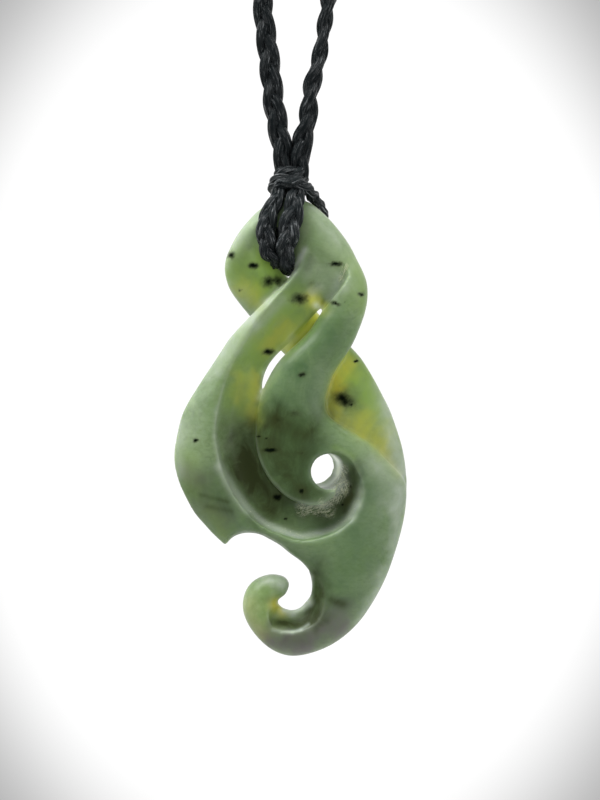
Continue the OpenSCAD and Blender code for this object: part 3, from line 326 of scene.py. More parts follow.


# Strokes of colour by kind, each with x and z of one end, x and z of the other, half width and strength, and
# with its level and depth where they aren't the usual ones. Many of them are painted shade, painted
# highlights or a painted glow rather than the stone's own colour
STROKES = {
    StainOrLight.LIME: (
        (-6.7, 46.5, -1.9, 43.9, 3.0, 0.85, 0.5, 2.4), (1.1, 41.5, -4.0, 36.7, 2.2, 0.85, 0.9, 2.6),
        (-4.6, 36.7, -6.2, 30.7, 2.0, 0.85, 1.0), (6.6, 34.6, 10.4, 27.2, 2.6, 0.95, 0.0, 1.3),
        (-3.5, 7.9, -2.8, 3.1, 1.8, 0.38, 1.5), (8.5, 46.0, 8.3, 41.5, 1.2, 0.3, 1.5),
        (-13.0, 24.0, -11.6, 20.4, 1.4, 0.4, 1.5), (-9.6, 17.6, -8.0, 14.8, 0.9, 0.45, 1.5),
        (-0.4, 37.0, 3.6, 41.4, 1.2, 0.6, -0.5, 1.8), (5.2, 25.0, 7.4, 24.0, 0.4, 0.35, 2.2, 2.0),
        (-3.8, 47.6, -1.0, 45.8, 1.2, 0.9, 0.0, 2.0), (3.0, 52.0, 7.2, 47.0, 2.2, 0.35, 3.0),
        (7.6, 46.5, 8.4, 43.5, 1.4, 0.55, 2.0), (8.6, 34.0, 10.6, 30.0, 1.4, 0.6, 0.0, 1.3),
    ),
    StainOrLight.DEEP: (
        (3.2, 39.0, 0.6, 34.5, 2.4, 0.68, 3.0), (-0.3, 28.8, 0.8, 21.5, 4.4, 1.0, 3.0),
        (-3.5, 28.0, -3.0, 22.0, 1.6, 0.6, 3.0), (3.4, 40.6, 5.0, 38.0, 1.2, 0.45, 3.0),
        (9.0, 18.7, 6.2, 7.9, 4.0, 0.5, 2.0, 5.0), (-10.4, 20.2, -6.7, 15.7, 2.4, 0.8, 2.0),
        (-0.1, 13.3, 4.7, 9.1, 1.8, 0.45, 2.0), (1.6, 47.2, 0.2, 44.2, 0.7, 0.6, 2.5),
        (0.2, 44.2, -2.4, 41.6, 0.8, 0.5, 2.0), (-5.8, 46.4, -3.0, 48.6, 1.6, 0.5, 1.5),
        (7.8, 46.6, 8.3, 42.6, 0.9, 0.35, 2.5), (8.4, 21.8, 9.2, 19.6, 1.0, 0.6, 2.5),
        (4.6, 16.0, 9.0, 12.0, 2.2, 0.35, 3.0), (2.4, 3.2, 5.6, 6.4, 1.8, 0.75, 2.0),
        (-0.4, 35.8, 3.4, 40.2, 0.9, 0.5, 2.4, 2.0), (0.4, 36.4, 3.6, 40.0, 1.8, 0.35, 3.0, 3.0),
        (6.0, 36.0, 9.5, 28.5, 1.5, 0.25, 3.0), (5.2, 40.6, 7.2, 36.4, 1.6, 0.28, 3.0),
        (0.0, 45.7, 1.0, 44.4, 1.1, 0.85, 2.6, 2.6), (7.6, 30.2, 8.8, 28.4, 1.4, 0.5, 0.0, 1.4),
    ),
    StainOrLight.AMBER: (
        (2.4, 43.0, 3.2, 41.9, 0.8, 0.8, 1.2), (-3.0, 37.2, -0.6, 39.4, 0.9, 0.4, 1.2),
        (-0.4, 37.0, 3.6, 41.4, 1.2, 0.58, -0.5, 1.8), (-4.4, 33.0, -4.3, 28.4, 0.9, 0.6, 0.8, 1.9),
        (-6.4, 33.8, -6.0, 31.0, 0.8, 0.32, 0.8), (5.0, 33.6, 6.4, 34.6, 1.2, 0.75, 0.0, 1.3),
        (5.8, 28.7, 10.4, 25.6, 1.5, 0.9, 0.0, 1.3), (10.4, 25.6, 12.6, 21.8, 0.6, 0.6, 0.0, 1.3),
        (5.2, 32.8, 5.4, 29.8, 1.0, 0.85, 0.0, 1.3), (-1.9, 6.2, -1.0, 5.5, 0.7, 0.9),
        (-6.0, 44.0, -4.0, 42.6, 1.1, 0.45, 1.0, 2.5), (-5.2, 6.2, -4.0, 2.8, 1.1, 0.3, 1.5),
        (9.0, 28.8, 10.6, 26.4, 1.0, 0.45, 0.0, 1.3),
    ),
    StainOrLight.SMOKE: (
        (6.4, 31.1, 7.4, 30.2, 0.9, 0.45, 0.0, 1.4), (-6.4, 26.6, -5.6, 23.0, 2.3, 0.55, 0.8, 2.8),
        (-5.4, 22.2, -2.4, 18.4, 2.7, 1.0, 1.0, 3.0), (-1.8, 17.6, 2.5, 17.2, 1.2, 0.22, 0.8, 2.2),
        (3.5, 16.8, 6.6, 18.6, 1.0, 0.5, 0.8, 2.0), (6.9, 18.0, 7.5, 22.2, 1.0, 0.75, 1.4, 2.4),
        (7.0, 21.0, 7.0, 22.3, 0.7, 0.55, 1.0, 2.0), (-4.8, 27.2, -4.6, 24.0, 1.0, 0.35, 0.8, 2.6),
        (-1.8, 28.2, 1.8, 27.0, 2.0, 0.85, 3.0), (-2.2, 25.4, 0.4, 24.2, 2.0, 0.6, 3.0),
        (-0.6, 22.8, 0.8, 20.8, 1.7, 0.6, 3.0), (1.6, 19.8, 4.2, 19.2, 0.9, 0.5, 3.0),
        (-10.8, 19.4, -7.4, 18.6, 0.22, 0.5, 2.0), (-10.0, 18.0, -7.0, 17.5, 0.25, 0.4, 2.0),
        (-11.2, 20.0, -8.4, 17.6, 1.6, 0.35, 2.0), (2.4, 47.8, 1.9, 46.4, 0.45, 0.4, 2.8),
        (3.4, 10.9, 4.2, 8.8, 0.8, 0.4, 2.0), (4.8, 6.9, 6.2, 6.4, 0.5, 0.7, 2.0),
        (2.8, 9.8, 3.3, 7.4, 0.55, 0.5, 1.2), (3.3, 7.4, 2.6, 5.0, 0.85, 0.9, 1.4, 2.0),
        (2.2, 4.5, 0.6, 3.95, 0.62, 1.0, 1.4, 1.8), (0.6, 3.95, -2.2, 4.1, 0.58, 0.95, 1.4, 1.8),
        (2.6, 3.8, 4.0, 5.6, 1.0, 0.45, 2.0), (-0.6, 2.3, 1.2, 2.2, 0.7, 0.3, 2.0),
    ),
    StainOrLight.MAUVE: (
        (2.2, 2.4, 6.0, 3.8, 1.4, 0.8, 2.0), (3.2, 4.6, 5.6, 6.2, 1.4, 0.45, 2.0),
        (-2.6, 2.4, 1.5, 1.3, 1.3, 1.0, 2.0), (-10.3, 18.2, -7.5, 16.6, 1.3, 0.3, 2.0),
        (-12.6, 22.0, -10.4, 21.0, 1.2, 0.4, 2.0),
    ),
    StainOrLight.FAIR: (
        (-6.4, 39.8, -9.6, 34.6, 1.4, 0.6, 2.0), (-5.6, 51.4, -3.8, 53.0, 1.3, 0.4, 2.0),
        (1.7, 48.6, 0.1, 45.9, 0.3, 0.85, 3.2), (0.2, 45.9, -2.9, 42.5, 0.5, 0.5, 3.2),
        (-2.9, 42.5, -5.2, 40.2, 0.55, 0.45, 3.0), (3.4, 44.2, 2.6, 43.6, 0.5, 0.35, 2.0),
        (0.2, 38.2, -3.8, 31.0, 0.4, 0.3, 2.5), (-8.6, 22.8, -5.4, 17.6, 0.45, 0.4, 2.8),
        (-13.6, 28.0, -13.6, 22.0, 0.7, 0.35, 1.5), (10.8, 22.6, 12.8, 18.7, 1.6, 0.28, 2.5),
        (-3.8, 9.2, -0.8, 9.1, 0.5, 0.35, 1.5), (12.3, 11.5, 8.5, 4.3, 0.8, 0.4, 1.5),
        (11.8, 29.4, 13.4, 22.4, 1.1, 0.65, 0.0, 1.6), (10.4, 32.6, 11.8, 29.4, 0.7, 0.35, 0.0, 1.6),
        (-3.6, 31.6, -3.3, 34.0, 0.22, 0.5, 0.5, 2.0), (-3.1, 34.4, -1.6, 36.4, 0.22, 0.35, 0.5, 2.0),
        (2.6, 53.4, 5.2, 49.9, 0.8, 0.35, 2.5), (5.9, 45.4, 4.8, 43.0, 0.55, 0.4, 2.2, 2.0),
        (-2.2, 3.35, -1.1, 3.08, 0.15, 0.5, 2.0, 1.2), (-1.1, 3.08, 0.2, 3.05, 0.16, 0.7, 2.0, 1.2),
        (0.2, 3.05, 1.2, 3.35, 0.16, 0.65, 2.0, 1.2), (1.2, 3.35, 2.1, 3.95, 0.15, 0.45, 2.0, 1.2),
        (-0.7, 5.6, 0.2, 5.3, 0.4, 0.95, 0.6, 1.3), (0.2, 5.3, 2.1, 6.5, 0.4, 0.95, 0.6, 1.3),
        (2.0, 6.6, 2.4, 9.6, 0.3, 0.6, 0.6, 1.2), (6.0, 24.2, 6.1, 21.6, 0.9, 0.75, -0.6, 1.4),
        (6.2, 20.9, 4.4, 20.0, 0.8, 0.75, -0.6, 1.4), (4.8, 19.4, 5.8, 20.8, 0.7, 0.3, 0.8, 1.5),
        (1.2, 18.2, 4.0, 18.2, 0.45, 0.55, 1.2, 1.8), (4.0, 18.2, 5.6, 20.0, 0.5, 0.4, 1.2, 1.8),
        (5.4, 20.0, 5.8, 22.0, 0.5, 0.5, 0.6, 2.0), (3.0, 42.0, 3.5, 41.6, 0.35, 0.75, 1.2),
        (7.2, 46.6, 6.4, 44.0, 0.4, 0.25, 3.0, 2.0), (2.0, 52.4, 6.4, 48.0, 2.2, 0.26, 3.0),
        (3.0, 45.6, 7.0, 44.4, 1.5, 0.2, 3.0), (-5.4, 7.0, -4.6, 3.4, 1.2, 0.2, 1.5),
        (13.0, 20.0, 12.4, 12.0, 0.8, 0.5, 1.0, 2.5), (5.2, 15.1, 7.1, 16.7, 0.42, 0.24, 2.2, 1.6),
        (7.1, 16.7, 8.0, 18.2, 0.45, 0.3, 2.2, 1.6), (8.0, 18.2, 8.4, 19.8, 0.42, 0.24, 2.2, 1.6),
        (8.4, 19.8, 8.4, 21.0, 0.32, 0.12, 2.2, 1.6), (-8.0, 32.4, -8.8, 29.2, 0.22, 0.25, 2.4, 1.5),
        (-8.8, 29.2, -9.05, 26.4, 0.22, 0.28, 2.4, 1.5), (-9.05, 26.4, -8.4, 22.8, 0.24, 0.28, 2.4, 1.5),
        (-1.0, 42.6, -4.0, 39.6, 0.5, 0.25, 2.5), (-4.0, 39.6, -7.2, 35.8, 0.5, 0.25, 2.2),
        (-7.9, 47.5, -7.0, 50.6, 0.9, 0.4, 1.0, 3.0), (-7.9, 44.6, -5.0, 41.2, 0.8, 0.3, 1.0, 3.0),
        (-6.6, 51.2, -5.0, 49.2, 1.6, 0.12, 1.0, 3.0), (-13.6, 26.0, -10.5, 31.0, 1.6, 0.25, 1.0, 3.0),
        (-2.6, 9.3, -0.9, 8.4, 0.5, 0.45, 1.2, 2.0),
    ),
    StainOrLight.CHATTER: (
        (4.0, 18.0, 5.8, 20.4, 1.15, 1.0, 1.0, 1.9), (1.5, 17.8, 4.0, 17.8, 0.85, 1.0, 1.0, 1.8),
        (5.6, 20.2, 6.2, 22.6, 0.75, 0.9, 0.4, 2.2), (5.9, 45.0, 6.5, 46.7, 0.45, 0.75, 3.0, 1.5),
    ),
    StainOrLight.LIT: (
        (-0.4, 37.2, 3.6, 41.4, 1.0, 0.85, -0.6, 1.3), (-3.6, 31.0, -3.3, 34.0, 0.35, 0.45, 0.4, 2.0),
        (-3.2, 34.2, -1.4, 36.6, 0.35, 0.35, 0.4, 2.0), (4.8, 24.8, 6.1, 22.4, 0.8, 0.75, -0.4, 1.2),
        (6.0, 20.9, 4.4, 20.1, 0.7, 0.45, -0.8, 1.3), (2.6, 42.6, 3.4, 41.7, 0.55, 0.6, 1.2),
        (5.4, 34.0, 9.0, 27.0, 2.0, 0.22, -0.2, 1.2), (5.8, 34.6, 7.6, 33.0, 1.1, 0.35, -0.2, 1.2),
        (-4.8, 33.4, -4.6, 29.4, 0.9, 0.25, 0.6), (-6.8, 44.4, -3.0, 42.6, 1.4, 0.15, 0.5),
        (-3.6, 47.0, -1.0, 45.9, 1.1, 0.45, 0.0, 2.2), (-4.2, 51.8, -4.4, 48.4, 0.8, 0.6, 0.8, 2.0),
        (-1.0, 5.6, 1.4, 5.6, 0.4, 0.3, 0.6, 1.3),
    ),
    StainOrLight.PALE: (
        (5.4, 24.5, 6.3, 23.2, 0.55, 1.0, -0.4, 1.3), (3.4, 20.0, 4.2, 19.6, 0.4, 0.5, -0.2, 1.3),
    ),
}


def to_row_frame(points: np.ndarray) -> np.ndarray:
    """Move places on the stone, in millimetres, to the row frame, still in millimetres."""
    return points - np.array([0.0, 0.0, DROP])


def catmull(rows: np.ndarray, n: int) -> np.ndarray:
    """Pass a smooth curve through rows of numbers.

    Args:
        rows: one row for each section or place.
        n: how many new rows go between two old ones.

    Returns:
        The rows of the curve.
    """
    padded = np.vstack([rows[:1], rows, rows[-1:]])
    t = (np.arange(n) / n)[:, None]
    parts = []
    for i in range(len(rows) - 1):
        a, b, c, d = padded[i : i + 4]
        parts.append(
            0.5 * (2 * b + (c - a) * t + (2 * a - 5 * b + 4 * c - d) * t**2 + (3 * b - a - 3 * c + d) * t**3)
        )
    return np.vstack([*parts, rows[-1:]])


def unit(v: np.ndarray) -> np.ndarray:
    """Scale each row to a length of one."""
    return v / np.maximum(np.linalg.norm(v, axis=-1, keepdims=True), 1e-12)


def distances(points: np.ndarray) -> np.ndarray:
    """Distance along a line of points to each of them."""
    return np.concatenate([[0], np.cumsum(np.linalg.norm(np.diff(points, axis=0), axis=1))])


def new_object(name: str, data: bpy.types.ID) -> Piece:
    """Put a mesh, a camera or a light in the scene.

    Args:
        name: the object's name.
        data: what the object holds.

    Returns:
        The new object.
    """
    obj = bpy.data.objects.new(name, data)
    bpy.context.scene.collection.objects.link(obj)
    return obj


def mesh_points(mesh: bpy.types.Mesh) -> np.ndarray:
    """Read the places of a mesh's vertices.

    Args:
        mesh: the mesh.

    Returns:
        A row for each vertex.
    """
    flat = np.empty(len(mesh.vertices) * 3)
    mesh.vertices.foreach_get("co", flat)
    return flat.reshape(-1, 3)


def set_points(mesh: bpy.types.Mesh, points: np.ndarray) -> None:
    """Move a mesh's vertices."""
    mesh.vertices.foreach_set("co", points.astype(np.float32).ravel())
    mesh.update()


def set_field(mesh: bpy.types.Mesh, name: str, values: np.ndarray) -> None:
    """Store one number for each vertex."""
    mesh.attributes.new(name, "FLOAT", "POINT").data.foreach_set("value", values.astype(np.float32))


def set_vectors(mesh: bpy.types.Mesh, name: str, values: np.ndarray) -> None:
    """Store a vector for each vertex."""
    flat = values.astype(np.float32).ravel()
    mesh.attributes.new(name, "FLOAT_VECTOR", "POINT").data.foreach_set("vector", flat)


def finish_piece(obj: Piece, finish: Finish) -> None:
    """Move a piece made in stone millimetres to the row frame in metres, and give it its material.

    Args:
        obj: the piece.
        finish: its material.
    """
    set_points(obj.data, to_row_frame(mesh_points(obj.data)) * MM)
    obj.data.materials.clear()
    obj.data.materials.append(finish)
    obj.data.polygons.foreach_set("use_smooth", [True] * len(obj.data.polygons))
    obj.data.update()


def skin(name: str, rings: list[np.ndarray]) -> Piece:
    """Close a skin over rings of equal length.

    Args:
        name: the object's name.
        rings: the rings in order, each with a row for each point.

    Returns:
        A closed mesh whose faces point outwards.
    """
    n, last = len(rings[0]), len(rings) - 1
    faces = [
        (i * n + j, i * n + (j + 1) % n, (i + 1) * n + (j + 1) % n, (i + 1) * n + j)
        for i in range(last)
        for j in range(n)
    ]
    points = np.vstack(rings)
    a, b, c, d = (points[corner] for corner in np.array(faces).T)
    volume = (np.einsum("ij,ij->i", a, np.cross(b, c)) + np.einsum("ij,ij->i", a, np.cross(c, d))).sum()
    faces += [tuple(range(n - 1, -1, -1)), tuple(last * n + j for j in range(n))]
    if volume < 0:
        faces = [tuple(reversed(f)) for f in faces]
    mesh = bpy.data.meshes.new(name)
    mesh.from_pydata(points.tolist(), [], faces)
    return new_object(name, mesh)


def bake_modifiers(obj: Piece) -> None:
    """Replace an object's mesh with what its modifiers make of it, and remove them.

    Args:
        obj: the object.
    """
    graph = bpy.context.evaluated_depsgraph_get()
    mesh = bpy.data.meshes.new_from_object(obj.evaluated_get(graph))
    obj.modifiers.clear()
    obj.data = mesh


class Cut(Enum):
    """What one solid does to another."""

    JOIN = "UNION"
    TAKE = "DIFFERENCE"


def combine(base: Piece, tool: Piece, cut: Cut) -> None:
    """Join a solid to another or take it away, and remove the tool.

    Args:
        base: the solid that stays.
        tool: the solid that is used up.
        cut: whether it is joined or taken away.
    """
    step = base.modifiers.new("cut", "BOOLEAN")
    step.operation = cut.value
    step.solver = "MANIFOLD"
    step.object = tool
    bake_modifiers(base)
    bpy.data.objects.remove(tool, do_unlink=True)


def swell(s: np.ndarray, crest: float, power: float) -> np.ndarray:
    """How high a rounded face stands across a section: 0 at its edges and 1 at its crest."""
    q = np.where(s < crest, s / crest, (1 - s) / (1 - crest))
    return np.maximum(0, 1 - np.maximum(0, 1 - q) ** power) ** (1 / power)


def across(n: int, crest: float) -> np.ndarray:
    """Space places across a section, close together at its edges and with one at the crest.

    Args:
        n: how many steps there are from edge to edge.
        crest: where the crest lies, from 0 to 1.

    Returns:
        The places, from 0 to 1.
    """
    j = np.arange(n + 1)
    return np.where(
        j <= n / 2,
        crest * (1 - np.cos(np.pi * j / n)),
        1 - (1 - crest) * (1 - np.cos(np.pi * (n - j) / n)),
    )


def on_section(row: np.ndarray, s: np.ndarray, level: np.ndarray) -> np.ndarray:
    """Find the points at some places across a section.

    Args:
        row: the section, which starts with x and z of both its edges.
        s: the places, from 0 at its first edge to 1 at its second.
        level: the points' levels.

    Returns:
        A row for each point.
    """
    return np.stack(
        [row[0] + (row[2] - row[0]) * s, -level * np.ones_like(s), row[1] + (row[3] - row[1]) * s], axis=1
    )


def soften(mesh: bpy.types.Mesh, points: np.ndarray, rounds: int) -> np.ndarray:
    """Average each vertex with its neighbours.

    Args:
        mesh: the stone's mesh.
        points: its vertices, in millimetres.
        rounds: how many times they are averaged, which sets how wide the averaging reaches.

    Returns:
        The averaged places.
    """
    edges = np.empty(len(mesh.edges) * 2, dtype=np.int32)
    mesh.edges.foreach_get("vertices", edges)
    a, b = edges[::2], edges[1::2]
    count = np.bincount(edges, minlength=len(points))[:, None]
    soft = points.copy()
    for _ in range(rounds):
        total = np.zeros_like(soft)
        for k in range(3):
            total[:, k] = np.bincount(a, soft[b, k], len(points)) + np.bincount(b, soft[a, k], len(points))
        soft = 0.5 * soft + 0.5 * total / np.maximum(count, 1)
    return soft


def relief(mesh: bpy.types.Mesh, points: np.ndarray, rounds: int) -> np.ndarray:
    """Measure how far each vertex stands above its surroundings.

    Args:
        mesh: the stone's mesh.
        points: its vertices, in millimetres.
        rounds: how many times the surroundings are averaged, which sets how wide they are.

    Returns:
        The height of each vertex over the averaged surface, in millimetres.
    """
    soft = soften(mesh, points, rounds)
    normals = np.empty(len(points) * 3)
    mesh.vertices.foreach_get("normal", normals)
    return np.einsum("ij,ij->i", points - soft, normals.reshape(-1, 3))


def wander(points: np.ndarray, sway: float, length: float) -> np.ndarray:
    """Shift places to and fro a little, so that what is drawn with them gets an uneven outline.

    Args:
        points: the places, in millimetres.
        sway: how far they shift.
        length: about how far apart the turns are.

    Returns:
        The shifted places.
    """
    x, y, z = (points * (2 * np.pi / length)).T
    shift = [
        np.sin(z + 1.3 * np.sin(0.7 * x + 0.4)) + 0.5 * np.sin(2.1 * z - 1.7 * x + 2.0),
        np.sin(0.8 * x - 0.5 * z),
        np.sin(x + 1.1 * np.sin(0.8 * z + 1.9)) + 0.5 * np.sin(2.3 * x + 1.4 * z + 0.7 * y),
    ]
    return points + sway * np.stack(shift, axis=1)


def fade(square: np.ndarray) -> np.ndarray:
    """How much colour is left at a squared distance, counted in half widths, from the middle of a mark."""
    return np.exp(-FADE_RATE * square)


@dataclass(frozen=True)
class Stroke:
    """A soft-edged stroke: it runs from one place to another, at one level and so deep, and fades out."""

    x1: float
    z1: float
    x2: float
    z2: float
    half_width: float
    strength: float = 1.0
    level: float = 1.5
    depth: float = 4.0

    def amount(self, points: np.ndarray) -> np.ndarray:
        """Measure how much of the stroke each point has.

        Args:
            points: the stone's vertices, in millimetres.

        Returns:
            A number for each point, from 0 to the stroke's strength.
        """
        start, line = np.array([self.x1, self.z1]), np.array([self.x2 - self.x1, self.z2 - self.z1])
        flat = points[:, [0, 2]] - start
        t = np.clip(flat @ line / max(float(line @ line), 1e-9), 0, 1)
        apart = np.linalg.norm(flat - t[:, None] * line, axis=1) / self.half_width
        down = (-points[:, 1] - self.level) / self.depth
        return self.strength * fade(apart**2 + down**2)


@dataclass(frozen=True)
class Speck:
    """A black speck under the polish: an oval with a fairly crisp edge."""

    x: float
    z: float
    half_length: float
    half_width: float
    strength: float = 1.0
    level: float = 2.0
    turn: float = 0.0
    depth: float = 2.2

    def amount(self, points: np.ndarray) -> np.ndarray:
        """Measure how much of the speck each point has.

        Args:
            points: the stone's vertices, in millimetres.

        Returns:
            A number for each point, from 0 to the speck's strength.
        """
        a = math.radians(self.turn)
        dx, dz = points[:, 0] - self.x, points[:, 2] - self.z
        u = (dx * math.cos(a) + dz * math.sin(a)) / self.half_length
        v = (dz * math.cos(a) - dx * math.sin(a)) / self.half_width
        w = (-points[:, 1] - self.level) / self.depth
        return self.strength * fade(u * u + v * v + w * w)


@dataclass(frozen=True)
class Markings:
    """Where the stone's specks, coloured strokes (some of them painted light and shade), burr marks and the
    painted highlight on the channel wall lie.
    """

    speck_sway: tuple[float, float] = (0.05, 0.9)
    wide_sway: tuple[float, float] = (0.22, 4.2)
    ragged_sway: tuple[float, float] = (0.09, 1.3)
    thin_stroke: float = 0.7
    # How widely the relief is measured, for the paler raised edges, partly wear and partly painted highlight,
    # and for the painted shade in hollows
    edge_rounds: int = 12
    hollow_rounds: int = 120
    # The band inside the channel's ridge that gets a painted highlight
    wall_width: float = 0.75
    wall_levels: tuple[float, float] = (0.2, 4.2)
    wall_drop: float = 0.15
    wall_fade: float = 0.2
    wall_overlap: float = 0.1
    along: int = 12
    batches: int = 40

    def draw(self, mesh: bpy.types.Mesh) -> None:
        """Store where the markings lie, and how far each place stands out from its surroundings.

        Args:
            mesh: the stone's mesh, in millimetres.
        """
        points = mesh_points(mesh)
        specks = wander(points, *self.speck_sway)
        set_field(mesh, StainOrLight.SPOT.value, np.max([Speck(*row).amount(specks) for row in SPECKS], axis=0))
        loose = wander(wander(points, *self.wide_sway), *self.ragged_sway)
        for kind, rows in STROKES.items():
            strokes = [Stroke(*row) for row in rows]
            amounts = [s.amount(loose if s.half_width > self.thin_stroke else points) for s in strokes]
            set_field(mesh, kind.value, 1 - np.prod([1 - np.clip(v, 0, 1) for v in amounts], axis=0))
        # The channel's outer wall, where a highlight is painted, and the grain of the burr marks
        wall, along = self.outer_wall(points)
        set_field(mesh, "wall", wall)
        set_vectors(mesh, "grain", along)
        # Relief, which the material uses for paler raised edges and for painted shade in hollows
        set_field(mesh, "edge", relief(mesh, points, self.edge_rounds))
        set_field(mesh, "hollow", relief(mesh, points, self.hollow_rounds))

    def outer_wall(self, points: np.ndarray) -> tuple[np.ndarray, np.ndarray]:
        """Find the band just inside the channel's ridge, which gets a painted highlight because the wall
        faces up toward the light, and where each vertex lies along the channel.

        Args:
            points: the stone's vertices, in millimetres.

        Returns:
            How much each vertex belongs to the band, from 0 to 1, and its distances along, across and out of
            the channel.
        """
        rows = catmull(np.array(CHANNEL), self.along)
        place = np.linspace(0, len(CHANNEL) - 1, len(rows))
        strength = np.interp(place, *zip(*WALL_HIGHLIGHT))
        ridge, inward = rows[:, :2], unit(rows[:, 2:4] - rows[:, :2])
        onward = unit(np.gradient(ridge, axis=0))
        run = distances(ridge)
        found, grain = np.zeros(len(points)), np.zeros((len(points), 3))
        low, high = self.wall_levels
        half = 0.5 * self.wall_width
        near = np.flatnonzero((-points[:, 1] > low) & (-points[:, 1] < high))
        for part in np.array_split(near, self.batches):
            flat = points[part][:, None, [0, 2]] - ridge[None]
            apart = np.linalg.norm(flat, axis=2)
            best = np.argmin(apart, axis=1)
            pick = np.arange(len(part)), best
            inside = np.einsum("ij,ij->i", flat[pick], inward[best])
            below = rows[best, 4] + self.wall_drop + points[part, 1]
            band = np.exp(-(((inside - half) / half) ** 2))
            band *= (inside > -self.wall_overlap) * (apart[pick] < 2 * self.wall_width)
            found[part] = band * strength[best] * np.clip(below / self.wall_fade, 0, 1)
            grain[part] = np.stack([
                run[best] + np.einsum("ij,ij->i", flat[pick], onward[best]), apart[pick], points[part, 1]
            ], axis=1)
        return found, grain


@dataclass
class Stone:
    """The carved stone: three strands joined, and the channel, cove, eye and bay cut from them."""

    along: int = 8
    facets: int = 28
    back_crest: float = 0.5
    back_roundness: float = 2.2
    eye_width: float = 4.3
    eye_sides: int = 96
    eye_front: tuple[float, float] = (4.58, 22.22)
    eye_level: float = 3.0
    eye_lean: tuple[float, float] = (-0.34, 0.10)
    eye_reach: float = 15.0
    reach: float = 9.0
    bay_flare: float = 0.9
    bay_first: int = 2
    bay_last: int = 12
    bay_steps: int = 5
    bay_reach: float = 6.0
    bay_half: float = 4.0
    bay_levels: int = 25
    wall_share: float = 0.7
    wall_power: float = 1.4
    grain: float = 0.21
    polish_rounds: int = 3
    polish_share: float = 0.5
    rub_rounds: int = 40
    markings: Markings = field(default_factory=Markings)

    def strand(self, name: str, table: tuple) -> Piece:
        """Skin one strand.

        Args:
            name: the strand's name.
            table: its sections.

        Returns:
            The strand as a closed solid.
        """
        rings = []
        for row in catmull(np.array(table), self.along):
            front, back = across(self.facets, row[8]), across(self.facets, self.back_crest)[1:-1][::-1]
            up = row[4] + (row[5] - row[4]) * front + row[6] * swell(front, row[8], row[9])
            fall = swell(back, self.back_crest, self.back_roundness)
            down = row[4] + (row[5] - row[4]) * back - row[7] * fall
            rings.append(np.vstack([on_section(row, front, up), on_section(row, back, down)]))
        return skin(name, rings)

    def channel(self, name: str, table: tuple) -> Piece:
        """Skin what a channel takes away.

        Args:
            name: the cutter's name.
            table: its sections.

        Returns:
            The cutter, which reaches well above the stone.
        """
        rings = []
        for row in catmull(np.array(table), self.along):
            s = np.linspace(1, 0, self.facets + 1)
            fall = swell(s, row[7] * self.wall_share, self.wall_power)
            floor = row[4] + (row[5] - row[4]) * s - row[6] * fall
            top = on_section(row, np.array([0.0, 1.0]), np.array([self.reach, self.reach]))
            rings.append(np.vstack([on_section(row, s, floor), top]))
        return skin(name, rings)

    def eye(self) -> Piece:
        """Make the leaning cylinder for the hole through the spiral.

        Returns:
            The cutter.
        """
        lean = unit(np.array([self.eye_lean[0], 1.0, self.eye_lean[1]]))
        side = unit(np.cross(lean, [0.0, 0.0, 1.0]))
        rise = np.cross(side, lean)
        centre = np.array([self.eye_front[0], -self.eye_level, self.eye_front[1]])
        turn = np.linspace(0, 2 * np.pi, self.eye_sides, endpoint=False)[:, None]
        ring = self.eye_width / 2 * (np.cos(turn) * side + np.sin(turn) * rise)
        return skin("eye", [centre + ring + lean * d for d in (-self.eye_reach, self.eye_reach)])

    def bay(self) -> Piece:
        """Make the bay above the hook, which flares toward both faces.

        Returns:
            The cutter.
        """
        outline = np.array(BAY)
        out = np.zeros_like(outline)
        for i in range(self.bay_first, self.bay_last + 1):
            t = outline[i + 1] - outline[i - 1]
            out[i] = np.array([-t[1], t[0]]) / np.linalg.norm(t)
        dense, push = catmull(outline, self.bay_steps), catmull(out, self.bay_steps)
        rings = []
        for level in np.linspace(-self.bay_reach, self.bay_reach, self.bay_levels):
            edge = dense + self.bay_flare * (level / self.bay_half) ** 2 * push
            rings.append(np.stack([edge[:, 0], np.full(len(edge), -level), edge[:, 1]], axis=1))
        return skin("bay", rings)

    def carve(self) -> Piece:
        """Cut and join the solids and scale the carving to its height.

        Returns:
            The sharp carving, in millimetres, with its lowest point near zero.
        """
        body = self.strand("greenstone", FACE_STRAND)
        combine(body, self.strand("blade", BLADE), Cut.JOIN)
        for tool in (self.channel("channel", CHANNEL), self.channel("cove", HOOK_COVE), self.bay()):
            combine(body, tool, Cut.TAKE)
        combine(body, self.strand("back", BACK_STRAND), Cut.JOIN)
        combine(body, self.eye(), Cut.TAKE)
        points = mesh_points(body.data)
        height = points[:, 2].max() - points[:, 2].min()
        set_points(body.data, points * STONE_HEIGHT / height)
        return body

    def polish(self, body: Piece) -> None:
        """Turn the sharp carving into one even skin with the soft edges of a polished stone.

        Args:
            body: the carving.
        """
        grind = body.modifiers.new("grind", "REMESH")
        grind.mode = "VOXEL"
        grind.voxel_size = self.grain
        grind.adaptivity = 0.0
        buff = body.modifiers.new("buff", "SMOOTH")
        buff.factor = self.polish_share
        buff.iterations = self.polish_rounds
        bake_modifiers(body)
        points = mesh_points(body.data)
        zone = np.max([Stroke(*row).amount(points) for row in RUBBED], axis=0)[:, None]
        set_points(body.data, points + zone * (soften(body.data, points, self.rub_rounds) - points))

    def build(self, finish: Finish) -> Piece:
        """Make the finished stone.

        Args:
            finish: the stone's material.

        Returns:
            The piece, in metres, in the row frame.
        """
        body = self.carve()
        self.polish(body)
        self.markings.draw(body.data)
        finish_piece(body, finish)
        return body


